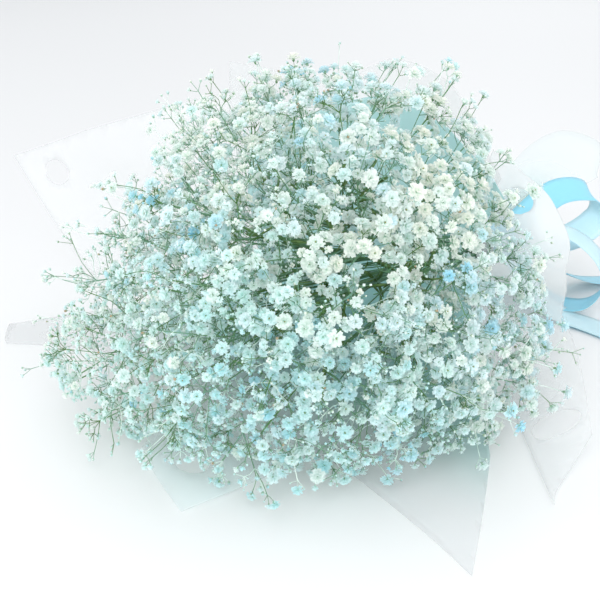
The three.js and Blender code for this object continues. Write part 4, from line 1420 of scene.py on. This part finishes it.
# %% Tree for florets on their stalks
floret_tree, floret_keys, entry, leave = new_tree(
    "Florets on points",
    [("Points", "NodeSocketGeometry"), ("Kinds", "NodeSocketCollection"),
     ("Spin seed", "NodeSocketInt"), ("Finish", "NodeSocketMaterial")],
    "Florets",
)
RANDOM_MOST, RANDOM_VALUE = 3, 1
sort = add_node(floret_tree, "GeometryNodeCollectionInfo")
sort.inputs["Separate Children"].default_value = True
turn_to = add_node(floret_tree, "FunctionNodeAlignRotationToVector", axis="Z")
spin = add_node(floret_tree, "FunctionNodeRandomValue", data_type="FLOAT")
spin.inputs[RANDOM_MOST].default_value = 2 * math.pi
about = add_node(floret_tree, "FunctionNodeAxisAngleToRotation", Axis=(0, 0, 1))
rotate = add_node(floret_tree, "FunctionNodeRotateRotation", rotation_space="LOCAL")
place = add_node(floret_tree, "GeometryNodeInstanceOnPoints")
place.inputs["Pick Instance"].default_value = True
wire(floret_tree, [
    (entry, "Points", place, "Points"), (entry, "Kinds", sort, "Collection"),
    (sort, "Instances", place, "Instance"),
    (named(floret_tree, "INT", "kind"), "Attribute", place, "Instance Index"),
    (named(floret_tree, "FLOAT_VECTOR", "facing"), "Attribute", turn_to, "Vector"),
    (entry, "Spin seed", spin, "Seed"), (spin, RANDOM_VALUE, about, "Angle"),
    (turn_to, "Rotation", rotate, "Rotation"), (about, "Rotation", rotate, "Rotate By"),
    (rotate, "Rotation", place, "Rotation"),
    (named(floret_tree, "FLOAT", "size"), "Attribute", place, "Scale"),
])
end_tree(floret_tree, place, "Instances", entry, leave, "Florets")
print("floret tree:", len(floret_tree.nodes), "nodes")

# %% Make meshes
def mesh_of(name, points, edges=(), faces=()):
    """A mesh from points in millimetres."""
    mesh = bpy.data.meshes.new(name)
    mesh.from_pydata([tuple(p) for p in to_metres(points)], edges, faces)
    return mesh


def add_attribute(mesh, name, kind, values):
    field = {"FLOAT_VECTOR": "vector", "FLOAT_COLOR": "color"}.get(kind, "value")
    mesh.attributes.new(name, kind, "POINT").data.foreach_set(field, np.ravel(values))


def smooth(mesh):
    mesh.polygons.foreach_set("use_smooth", [True] * len(mesh.polygons))


def face_outward(mesh):
    work = bmesh.new()
    work.from_mesh(mesh)
    bmesh.ops.recalc_face_normals(work, faces=work.faces)
    work.to_mesh(mesh)
    work.free()


print("a floret's colour is set by tint, tip, green and eye, a stalk's by pale")

# %% Turn a tree's result into a plain piece
SPARE_ATTRIBUTES = ("girth", "kind", "size", "facing", "id")


def plain_result(source, name):
    """What the object's modifiers make of it, as a mesh of its own."""
    bpy.context.view_layer.update()
    evaluated = source.evaluated_get(bpy.context.evaluated_depsgraph_get())
    mesh = bpy.data.meshes.new_from_object(evaluated)
    mesh.name = name
    bpy.data.objects.remove(source)
    for spare in SPARE_ATTRIBUTES:
        if spare in mesh.attributes:
            mesh.attributes.remove(mesh.attributes[spare])
    return new_object(name, mesh)


def grown(name, mesh, tree, settings):
    source = new_object(name + "_lines", mesh)
    modifier = source.modifiers.new("grow", "NODES")
    modifier.node_group = tree
    for key, value in settings.items():
        modifier[key] = value
    return plain_result(source, name)


print("attributes taken off a finished piece:", SPARE_ATTRIBUTES)

# %% Tubes and florets as pieces
def tubes(name, lines, sides, finish):
    mesh = mesh_of(name + "_lines", lines.points, lines.edges)
    add_attribute(mesh, "girth", "FLOAT", lines.girths)
    add_attribute(mesh, "pale", "FLOAT", lines.pales)
    return grown(name, mesh, tube_tree, {tube_keys["Sides"]: sides, tube_keys["Finish"]: finish})


def standing(name, blooms, seed):
    mesh = mesh_of(name + "_points", [b["at"] for b in blooms])
    add_attribute(mesh, "facing", "FLOAT_VECTOR", [b["facing"] for b in blooms])
    add_attribute(mesh, "size", "FLOAT", [b["size"] * MM for b in blooms])
    add_attribute(mesh, "kind", "INT", [b["kind"] for b in blooms])
    add_attribute(mesh, "tint", "FLOAT_COLOR", [[*b["tint"], 1] for b in blooms])
    return grown(name, mesh, floret_tree, {
        floret_keys["Kinds"]: kinds,
        floret_keys["Spin seed"]: seed,
        floret_keys["Finish"]: floret_finish,
    })


print("trees in use:", tube_tree.name, "and", floret_tree.name)

# %% [markdown]
# ## Grow the stems
#
# Each stem becomes three pieces: its stalks, the fine stalks of its florets, and the florets with
# their buds. All three stand for the same CAD stem. A floret's own stalk bends a little and ends
# under the calyx, so it is added now that the florets have found their places.

# %% The lines of a stem
STALK_GIRTH = {"main": (1.7, 0.5), "branch": (0.5, 0.3), "twig": (0.3, 0.22), "inner": (0.62, 0.3)}
TWIG_BOW, FLOWER_BOW = (-2.5, 1.0), (0.2, 1.0)
FLOWER_GIRTH = (0.2, 0.16)
CALYX_END = 0.62


def stalk_lines(stem, rng):
    lines = Lines()
    for branch in stem["branches"]:
        girth = STALK_GIRTH["main" if branch["main"] else "branch"]
        lines.add(rounded(branch["path"], POINT_EVERY["branch"]), *girth, knots=(1.0, KNOT_GIRTH))
        for twig in branch["twigs"]:
            root, neck = twig["path"]
            bow = (root + neck) / 2 + unit(neck - HEAD_CENTRE) * rng.uniform(*TWIG_BOW)
            path = rounded([root, bow, neck], POINT_EVERY["twig"])
            lines.add(path, *STALK_GIRTH["twig"], knots=(KNOT_GIRTH, KNOT_GIRTH))
    for path in stem["inner"]:
        path = rounded(path, POINT_EVERY["inner"])
        lines.add(path, *STALK_GIRTH["inner"], knots=(1.0, KNOT_GIRTH))
    return lines


def add_flower_stalks(stem, rng):
    for b in stem["blooms"]:
        end = b["at"] - b["facing"] * b["size"] * CALYX_END
        bow = (b["root"] + end) / 2 - b["facing"] * rng.uniform(*FLOWER_BOW)
        path = [b["root"], end] if b["kind"] == BUD else [b["root"], bow, end]
        stem["fine"].add(path, *FLOWER_GIRTH, b["pale"])


print("stalks taper from", STALK_GIRTH["main"][0], "to", STALK_GIRTH["twig"][1], "mm in radius")

# %% Stalks, flower stalks and florets
def declare(piece, slot, *nodes):
    """Say what the piece rides on and which solids it stands for; slot is not used."""
    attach(piece, "root")
    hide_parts(*nodes)
    pieces.append(piece)


STALK_SIDES, FINE_SIDES = 7, 3
pieces = []
for number, stem in enumerate(stems):
    rng = np.random.default_rng(300 + number)
    label = stem["node"].replace("stem_", "")
    add_flower_stalks(stem, rng)
    stalks = tubes("stalks_" + label, stalk_lines(stem, rng), STALK_SIDES, stalk_finish)
    declare(stalks, "flower", stem["node"])
    flower_stalks = tubes("flower_stalks_" + label, stem["fine"], FINE_SIDES, stalk_finish)
    declare(flower_stalks, "flower", stem["node"])
    declare(standing("florets_" + label, stem["blooms"], 90 + number), "flower", stem["node"])
triangles = sum(sum(len(p.vertices) - 2 for p in piece.data.polygons) for piece in pieces)
print("stem pieces:", len(pieces), "triangles:", triangles)

# %% [markdown]
# ## Leaves
#
# Gypsophila has narrow pointed leaves, in pairs at the joints of its stems. They are left on inside
# the head. Every joint near the gap where stems lean apart gets them, so that they stand in as dark
# pieces for the shade deep in the head; elsewhere only some joints have leaves. A leaf is a thin
# closed blade: two rows of points that share their edge, folded along the midrib and drooping towards
# the tip.

# %% One leaf
LEAF_LENGTH, LEAF_WIDTH, LEAF_THICKNESS = 25.0, 3.6, 0.3
LEAF_STEPS = 5
LEAF_START, LEAF_SPAN, LEAF_BLUNT = 0.06, 0.91, 0.75
LEAF_DROOP, LEAF_FOLD = 0.12, 0.35


def leaf_points(foot, way, side, length, width):
    up = np.cross(way, side)
    left, middle, right = [], [], []
    for k in range(LEAF_STEPS + 1):
        t = k / LEAF_STEPS
        half_width = 0.5 * width * math.sin(math.pi * (LEAF_START + LEAF_SPAN * t)) ** LEAF_BLUNT
        base = foot + way * length * t - up * length * LEAF_DROOP * t * t
        left.append(base + side * half_width + up * half_width * LEAF_FOLD)
        right.append(base - side * half_width + up * half_width * LEAF_FOLD)
        middle.append(base)
    return left, middle, right, up


def add_leaf(points, faces, foot, way, side, length, width):
    left, middle, right, up = leaf_points(foot, way, side, length, width)
    start = len(points)
    under = [m - up * LEAF_THICKNESS for m in middle]
    for row in zip(left, middle, right, under):
        points.extend(row)
    for k in range(LEAF_STEPS):
        a = start + 4 * k
        for first, second in ((0, 1), (1, 2), (2, 3), (3, 0)):
            faces.append((a + first, a + first + 4, a + second + 4, a + second))
    faces.append((start, start + 1, start + 2, start + 3))
    last = start + 4 * LEAF_STEPS
    faces.append((last + 3, last + 2, last + 1, last))


print("a leaf has", 4 * LEAF_STEPS + 2, "faces")

# %% Leaf pairs at the joints
LEAFY_BRANCHES = 3
INNER_LEAF = 0.75
LEAFY_REACH, LEAFY_OUTSIDE = 70.0, 0.4
LEAF_LEAN, LEAF_SIZES = (28, 70), (0.6, 1.0)

points, faces = [], []
for number, stem in enumerate(stems):
    rng = np.random.default_rng(60 + number)
    joints = [(*branch["path"][-3:-1], 1.0) for branch in stem["branches"][:LEAFY_BRANCHES]]
    main_path = stem["branches"][-1]["path"]
    joints += [(joint, after, 1.0) for joint, after in zip(main_path[4:7], main_path[5:8])]
    joints += [(bow, tip, INNER_LEAF) for _, bow, tip in stem["inner"]]
    for joint, after, largest in joints:
        # Near the gap every joint gets leaves: dark pieces that stand in for the shade there.
        outside = np.linalg.norm(joint - GAP_END) > LEAFY_REACH
        if outside and rng.random() > LEAFY_OUTSIDE:
            continue
        course = unit(after - joint)
        turn = rng.uniform(0, 2 * math.pi)
        for half_turn in (0.0, math.pi):
            way = tilted(course, drawn_angle(rng, LEAF_LEAN), turn + half_turn)
            size, side = rng.uniform(*LEAF_SIZES) * largest, unit(np.cross(way, course))
            add_leaf(points, faces, joint, way, side, LEAF_LENGTH * size, LEAF_WIDTH * size)
leaf_mesh = mesh_of("leaves", points, faces=faces)
leaf_mesh.materials.append(leaf_finish)
leaves = new_object("leaves", leaf_mesh)
face_outward(leaf_mesh)
smooth(leaf_mesh)
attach(leaves, "root")
print("leaves:", len(faces) // (4 * LEAF_STEPS + 2))

# %% [markdown]
# ## The wrap
#
# Each sheet is a grid of points on its trumpet. In the tie the sheets are pleated, and all layers
# share the same pleats, so that none cuts through the next. Further out the film has long soft
# creases from its folding. Where it reaches the table it lies flat, with a shallow ripple. Blender's
# own triangulation joins the points. It keeps the sheet's edge and the circles of its round holes as
# they are given, so a hole is cut by leaving out the triangles inside its circle.

# %% Pleats, creases and ripples
PLEATS = {"count": 21, "height": 1.1, "fade": 48.0, "uneven": 1.3}
WAVE = {"count": 7, "height": 1.2, "length": 48}
FAR_FROM, FAR_OVER = 40, 120
CREASES = [(8, 1.6), (52, 1.4), (77, 1.8), (104, 1.5), (141, 1.8), (160, 2.0), (201, 1.4), (228, 1.2),
           (262, 1.5), (292, 1.3), (316, 1.4)]
CREASE_WIDTH = 5.0
RIPPLE = {"height": 0.9, "size": 55.0, "share": 0.3}
SHEET_RAISED = 0.35
SOFT_BEND, STRAIGHT_ABOVE = 2.0, 12


def lifted(angle, s):
    """How far the pleats, the creases and the long waves lift a sheet off its trumpet."""
    pleat = PLEATS["height"] * np.exp(-(s / PLEATS["fade"]) ** 2)
    uneven = PLEATS["uneven"] * math.sin(math.radians(3 * angle))
    pleat = pleat * math.sin(math.radians(PLEATS["count"] * angle) + uneven)
    far = np.clip((s - FAR_FROM) / FAR_OVER, 0, 1)
    crease = sum(h * max(0.0, 1 - abs(angle - a) / CREASE_WIDTH) for a, h in CREASES)
    wave = WAVE["height"] * np.sin(math.radians(WAVE["count"] * angle) + s / WAVE["length"]) * far
    return pleat + crease * far + wave


def sheet_columns(sheet):
    low, high = sheet["arc"]
    corners = [a for a, _ in sheet["rim"]]
    return sorted(set(np.round(np.arange(low, high + 0.01, 2.0), 2)) | {float(a) for a in corners})


def sheet_points(sheet, angle, s):
    """The points at the distances s along the sheet; near the table they bend over to lie on it."""
    radius, ahead = sheet_line(sheet, angle, s)
    radius = radius + lifted(angle, s)
    x = radius * math.cos(math.radians(angle))
    height = TIE_HEIGHT + radius * math.sin(math.radians(angle))
    rest = np.array([
        noise.noise(Vector((a / RIPPLE["size"], b / RIPPLE["size"], 0))) for a, b in zip(x, ahead)
    ])
    rest = sheet["lies"] + SHEET_RAISED + RIPPLE["height"] * np.clip(rest + RIPPLE["share"], 0, 1)
    z = rest + SOFT_BEND * np.logaddexp(0, np.clip((height - rest) / SOFT_BEND, -30, 30))
    z = np.where(height - rest > STRAIGHT_ABOVE, height, z)
    return np.stack([x, -ahead, z], axis=1)


print("lift at the tie:", round(float(lifted(12, np.array([0.0]))[0]), 2), "mm")

# %% Where a sheet is deep, and where shade is painted on it
CURL_DEEP_FROM = 70.0


def deep_and_shade_share(sheet, angle, s):
    """From 0 where a sheet is single to 1 where it is turned over or gathered, and where shade is
    painted on it.
    """
    if "deep_to" in sheet:
        (near, far), (tail_near, tail_far) = sheet["deep_to"], sheet["tail_deep_to"]
        ahead, behind = (s - near) / (far - near), (-s - tail_near) / (tail_far - tail_near)
        return 1 - ease(np.clip(np.where(s < 0, behind, ahead), 0, 1))
    curl = sheet.get("curl")
    if not curl:
        return np.zeros(len(s))
    rim = along(sheet["rim"], angle, straight=True)
    run = np.clip((s - CURL_DEEP_FROM) / (rim - CURL_DEEP_FROM), 0, 1)
    return curl_share(curl, angle) * ease(run)


depths = deep_and_shade_share(SHEETS["lining"], 270, np.array([180.0, 260.0, 340.0]))
print("the lining's depth at 180, 260 and 340 mm:", np.round(depths, 2).tolist())

# %% Rows and edges of a sheet
TAIL_ROWS, BEND_ROWS, FRONT_ROWS = 11, 20, 40
ROWS = TAIL_ROWS + BEND_ROWS + FRONT_ROWS - 2
BEND_END = 90.0


def column_rows(sheet, angle):
    """The distances along the sheet of the points in one column."""
    rim, tail = along(sheet["rim"], angle, straight=True), along(sheet["tail"], angle)
    return np.concatenate([
        np.linspace(-tail, -COLLAR, TAIL_ROWS), np.linspace(-COLLAR, BEND_END, BEND_ROWS)[1:],
        np.linspace(BEND_END, rim, FRONT_ROWS)[1:],
    ])


def degree_at(sheet, hole):
    """How many millimetres one degree is, at the middle of a hole."""
    radius, _ = sheet_line(sheet, hole[0], np.array([hole[1]]))
    return math.radians(1) * float(radius[0])


def sheet_outline(columns, grid):
    """The numbers of the points along the sheet's edge, in order."""
    last = len(columns) - 1
    tail = [grid[c, 0] for c in range(last)]
    one_side = [grid[last, r] for r in range(ROWS - 1)]
    rim = [grid[c, ROWS - 1] for c in range(last, 0, -1)]
    other_side = [grid[0, r] for r in range(ROWS - 1, 0, -1)]
    return tail + one_side + rim + other_side


print("points in a column:", ROWS)

# %% Mesh of a sheet
HOLE_SIDES = 32
HOLE_CLEAR, HOLE_INSIDE = 1.2 * HOLE_RADIUS, 0.97 * HOLE_RADIUS
FLAT_DEGREE = 2.2


def sheet_mesh(name, sheet):
    columns = sheet_columns(sheet)
    holes = [(hole, degree_at(sheet, hole)) for hole in sheet["holes"]]

    def beside(spot, hole, degree):
        return math.hypot((spot[0] - hole[0]) * degree, spot[1] - hole[1])

    spots, points, milk, grid = [], [], [], {}
    for c, angle in enumerate(columns):
        rows = column_rows(sheet, angle)
        column = zip(range(ROWS), rows, sheet_points(sheet, angle, rows), deep_and_shade_share(sheet, angle, rows))
        for r, s, point, milky in column:
            if all(beside((angle, s), *hole) > HOLE_CLEAR for hole in holes):
                grid[c, r] = len(spots)
                spots.append((angle, s))
                points.append(point)
                milk.append(milky)
    loops = [sheet_outline(columns, grid)]
    for hole, degree in holes:
        loops.append(list(range(len(spots), len(spots) + HOLE_SIDES)))
        for turn in np.linspace(0, 2 * math.pi, HOLE_SIDES + 1)[:-1]:
            angle = hole[0] + HOLE_RADIUS * math.cos(turn) / degree
            s = np.array([hole[1] + HOLE_RADIUS * math.sin(turn)])
            spots.append((angle, float(s[0])))
            points.append(sheet_points(sheet, angle, s)[0])
            milk.append(float(deep_and_shade_share(sheet, angle, s)[0]))
    edges = [(a, b) for loop in loops for a, b in zip(loop, loop[1:] + loop[:1])]
    flat = [Vector((angle * FLAT_DEGREE, s)) for angle, s in spots]
    _, _, faces, own, _, _ = geometry.delaunay_2d_cdt(flat, edges, [], 1, 1e-5)
    faces = [[own[k][0] for k in face] for face in faces]
    faces = [face for face in faces
             if all(beside(np.mean([spots[k] for k in face], axis=0), *hole) > HOLE_INSIDE
                    for hole in holes)]
    mesh = mesh_of(name, points, faces=faces)
    add_attribute(mesh, "milk", "FLOAT", milk)
    return mesh


print("a hole has", HOLE_SIDES, "sides")

# %% Build the sheets
SHEET_SKIN = 0.25


def solid_sheet(name, mesh, finish):
    source = new_object(name + "_skin", mesh)
    thicken = source.modifiers.new("thickness", "SOLIDIFY")
    thicken.thickness = SHEET_SKIN * MM
    thicken.offset = 0
    piece = plain_result(source, name)
    piece.data.materials.append(finish)
    smooth(piece.data)
    return piece


sheet_pieces = {}
for name, sheet in SHEETS.items():
    mesh = sheet_mesh(name, sheet)
    piece = solid_sheet(name + "_sheet", mesh, SHEET_FINISHES.get(name, film_finish))
    declare(piece, "lining" if name == "lining" else "film", name)
    sheet_pieces[name] = piece

# %% [markdown]
# ## The ribbon
#
# One length of satin, 25 mm wide, goes round the wrap as a band and is tied in a bow: a knot, two
# loops and two tails. Each stretch is a strip that follows a smooth path, with its width held square
# to the path. Satin is soft, so the strip is cupped a little across its width.

# %% The two loops and two tails, each with its path and the way its width lies
BOW = [
    ([(27, 2, 53), (46, 10, 64), (72, 20, 64), (95, 27, 47), (101, 28, 26),
      (90, 22, 9), (68, 14, 7), (46, 8, 22), (31, 2, 46)], (-0.32, 0.95, 0.05)),
    ([(27, -2, 54), (34, 14, 72), (47, 38, 90), (62, 60, 88),
      (68, 68, 68), (58, 54, 52), (42, 28, 47), (31, 2, 51)], (0.7, -0.2, -0.45)),
    ([(31, 4, 47), (39, 18, 38), (50, 42, 22), (62, 70, 8), (76, 98, 3), (92, 124, 2.2)],
     (0.86, -0.42, 0.1)),
    ([(31, -2, 46), (43, -4, 34), (58, -3, 16), (80, 0, 4.5), (106, 2, 2.2), (134, 0, 2.2)],
     (0.05, 0.99, 0.02)),
]


def centripetal(path, count):
    """A smooth line through the points that makes no loop of its own where they are close."""
    path = [np.array(p, float) for p in path]
    ghost = [2 * path[0] - path[1], *path, 2 * path[-1] - path[-2]]
    out = []
    for i in range(count + 1):
        spot = (len(path) - 1) * i / count
        k = min(int(spot), len(path) - 2)
        a, b, c, d = ghost[k:k + 4]
        g = [max(np.linalg.norm(q - p), 1e-3) ** 0.5 for p, q in ((a, b), (b, c), (c, d))]
        m1 = ((b - a) / g[0] - (c - a) / (g[0] + g[1]) + (c - b) / g[1]) * g[1]
        m2 = ((c - b) / g[1] - (d - b) / (g[1] + g[2]) + (d - c) / g[2]) * g[1]
        t = spot - k
        out.append(b + m1 * t + (3 * (c - b) - 2 * m1 - m2) * t * t + (2 * (b - c) + m1 + m2) * t ** 3)
    return out


print("stretches in the bow:", len(BOW))

# %% Strips along a path
RIBBON = {"width": 25.0, "thickness": 0.35, "band": 22.45, "cup": 0.7}
ACROSS_STEPS = 6


def strip_rows(path, across, closed=False):
    rows = []
    count = len(path)
    for i, point in enumerate(path):
        before = path[i - 1] if closed or i else path[0]
        after = path[(i + 1) % count] if closed else path[min(i + 1, count - 1)]
        ahead = unit(after - before)
        side = unit(across - ahead * across.dot(ahead))
        rows.append((point, side, np.cross(ahead, side), ahead))
    return rows


def add_strip(points, faces, places, rows, closed=False, cup=RIBBON["cup"]):
    """Adds a strip with two skins to the points and faces, and returns its length."""
    start = len(points)
    across = ACROSS_STEPS + 1
    length = 0.0
    for i, (point, side, face_way, _) in enumerate(rows):
        if i:
            length += float(np.linalg.norm(point - rows[i - 1][0]))
        for skin in (0.5, -0.5):
            for k in range(across):
                t = k / ACROSS_STEPS - 0.5
                off = side * RIBBON["width"] * t + face_way * cup * (0.25 - t * t) * 4
                points.append(point + off + face_way * RIBBON["thickness"] * skin)
                places.append((t + 0.5, length / RIBBON["width"]))
    ring = 2 * across
    spans = len(rows) if closed else len(rows) - 1
    for i in range(spans):
        a, b = start + i * ring, start + ((i + 1) % len(rows)) * ring
        for k in range(across - 1):
            faces.append((a + k, a + k + 1, b + k + 1, b + k))
            faces.append((a + across + k + 1, a + across + k, b + across + k, b + across + k + 1))
        faces.append((a + across, a, b, b + across))
        faces.append((a + across - 1, a + ring - 1, b + ring - 1, b + across - 1))
    if not closed:
        for a, flip in ((start, False), (start + (len(rows) - 1) * ring, True)):
            for k in range(across - 1):
                quad = (a + k, a + across + k, a + across + k + 1, a + k + 1)
                faces.append(quad[::-1] if flip else quad)
    return length


print("a ribbon row has", 2 * (ACROSS_STEPS + 1), "points")

# %% Lay the bow and the band
RIBBON_STEP, LEAST_STEPS = 3.0, 12
BAND_STEPS = 72

points, faces, places = [], [], []
ribbon_length = 0.0
for path, across in BOW:
    length = sum(np.linalg.norm(np.subtract(b, a)) for a, b in zip(path, path[1:]))
    line = centripetal(path, max(LEAST_STEPS, int(length / RIBBON_STEP)))
    ribbon_length += add_strip(points, faces, places, strip_rows(line, np.array(across)))
turns = np.linspace(0, 2 * math.pi, BAND_STEPS + 1)[:-1]
band_line = [np.array([RIBBON["band"] * math.cos(t), 0, TIE_HEIGHT + RIBBON["band"] * math.sin(t)])
             for t in turns]
band_rows = strip_rows(band_line, np.array([0, 1.0, 0]), closed=True)
ribbon_length += add_strip(points, faces, places, band_rows, closed=True, cup=0.0)
print("ribbon length without its knot:", round(ribbon_length), "mm")

# %% The knot
# The knot shows its front, so it gets the pale painted sheen colour.
KNOT = {"at": (27, 0, 49), "half": (6.4, 9.8, 8.4), "rings": 24, "sides": 36, "glossy": 0.8}
KNOT_POLE = 0.02
KNOT_FOLD, KNOT_FOLDS, KNOT_TWIST = 0.07, 5, 2.2
KNOT_DENT, KNOT_DENTS = 0.03, 9
THREADS_ROUND = 3


def knot_surface():
    """A rounded lump with slanting folds, as satin makes where it is pulled tight."""
    points, places = [], []
    rings, sides = KNOT["rings"], KNOT["sides"]
    centre, half_size = np.array(KNOT["at"]), np.array(KNOT["half"])
    for r in range(rings + 1):
        rise = math.pi * (r + KNOT_POLE) / (rings + 2 * KNOT_POLE)
        for k in range(sides):
            turn = 2 * math.pi * k / sides
            fold = KNOT_FOLD * math.sin(KNOT_FOLDS * rise + KNOT_TWIST * math.sin(turn))
            pleat = 1 + fold + KNOT_DENT * math.sin(KNOT_DENTS * turn)
            ring = math.sin(rise)
            way = np.array([ring * math.cos(turn), math.cos(rise), ring * math.sin(turn)])
            points.append(centre + way * half_size * pleat)
            places.append((r / rings, THREADS_ROUND * k / sides))
    faces = band_faces(0, rings + 1, sides)
    faces.append(tuple(range(sides)))
    faces.append(tuple(range(rings * sides, (rings + 1) * sides)))
    return points, faces, places, [KNOT["glossy"]] * len(points)


knot_parts = knot_surface()
print("knot points:", len(knot_parts[0]))

# %% The ribbon as a piece, with its knot
def ribbon_mesh(name, points, faces, places, glossy):
    mesh = mesh_of(name, points, faces=faces)
    add_attribute(mesh, "glossy_side", "FLOAT", glossy)
    layer = mesh.uv_layers.new(name="ribbon")
    for loop in mesh.loops:
        layer.data[loop.index].uv = places[loop.vertex_index]
    face_outward(mesh)
    mesh.materials.append(satin_finish)
    smooth(mesh)
    return new_object(name, mesh)


row_points = 2 * (ACROSS_STEPS + 1)
# Points on the front skin of each strip carry the painted sheen.
glossy = [float(k % row_points <= ACROSS_STEPS) for k in range(len(points))]
ribbon = ribbon_mesh("ribbon_bow", points, faces, places, glossy)
knot = ribbon_mesh("ribbon_knot", *knot_parts)
declare(ribbon, "ribbon", "ribbon")
declare(knot, "ribbon", "ribbon")
print("ribbon faces:", len(ribbon.data.polygons) + len(knot.data.polygons))

# %% [markdown]
# ## The binding
#
# Under the wrap, several turns of twine hold the stems. The twine is one line that winds round the
# bundle, and the same tree that made the stalks sweeps it into a cord.

# %% Twine round the stems
TWINE = {"radius": 13.2, "thickness": 0.68, "turns": 8, "width": 10.4, "steps": 36, "sides": 6}

winding = Lines()
path = []
for t in np.linspace(0, 1, TWINE["steps"] * TWINE["turns"]):
    turn = 2 * math.pi * TWINE["turns"] * t
    x, z = TWINE["radius"] * math.cos(turn), TIE_HEIGHT + TWINE["radius"] * math.sin(turn)
    path.append(np.array([x, TWINE["width"] * (t - 0.5), z]))
winding.add(path, TWINE["thickness"], TWINE["thickness"])
binding = tubes("binding_twine", winding, TWINE["sides"], twine_finish)
declare(binding, "twine", "binding")
print("twine faces:", len(binding.data.polygons))

# %% [markdown]
# ## The sizes the sheets were cut to
#
# The film, the lining and the ribbon are sheets. The table gives the size that each film and lining
# sheet was cut to; the loop below only reads it.

FLAT_CUTS = {
    "film_under": (0.47, 0.42), "film_right": (0.17, 0.37), "film_left": (0.25, 0.47),
    "film_back": (0.25, 0.33), "lining": (0.38, 0.56),
}

for name, piece in sheet_pieces.items():
    width, length = FLAT_CUTS[name]

# %% [markdown]
# ## Finish
#
# The floret kinds were only patterns to copy, so they are removed.

# %% Finish, and print the CAD box
for pattern in list(kinds.objects):
    bpy.data.objects.remove(pattern)
bpy.data.collections.remove(kinds)
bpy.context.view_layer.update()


def as_numbers(box):
    return [[float(v) for v in corner] for corner in box]


print("CAD box ", np.round(as_numbers(cad_box), 3).tolist())
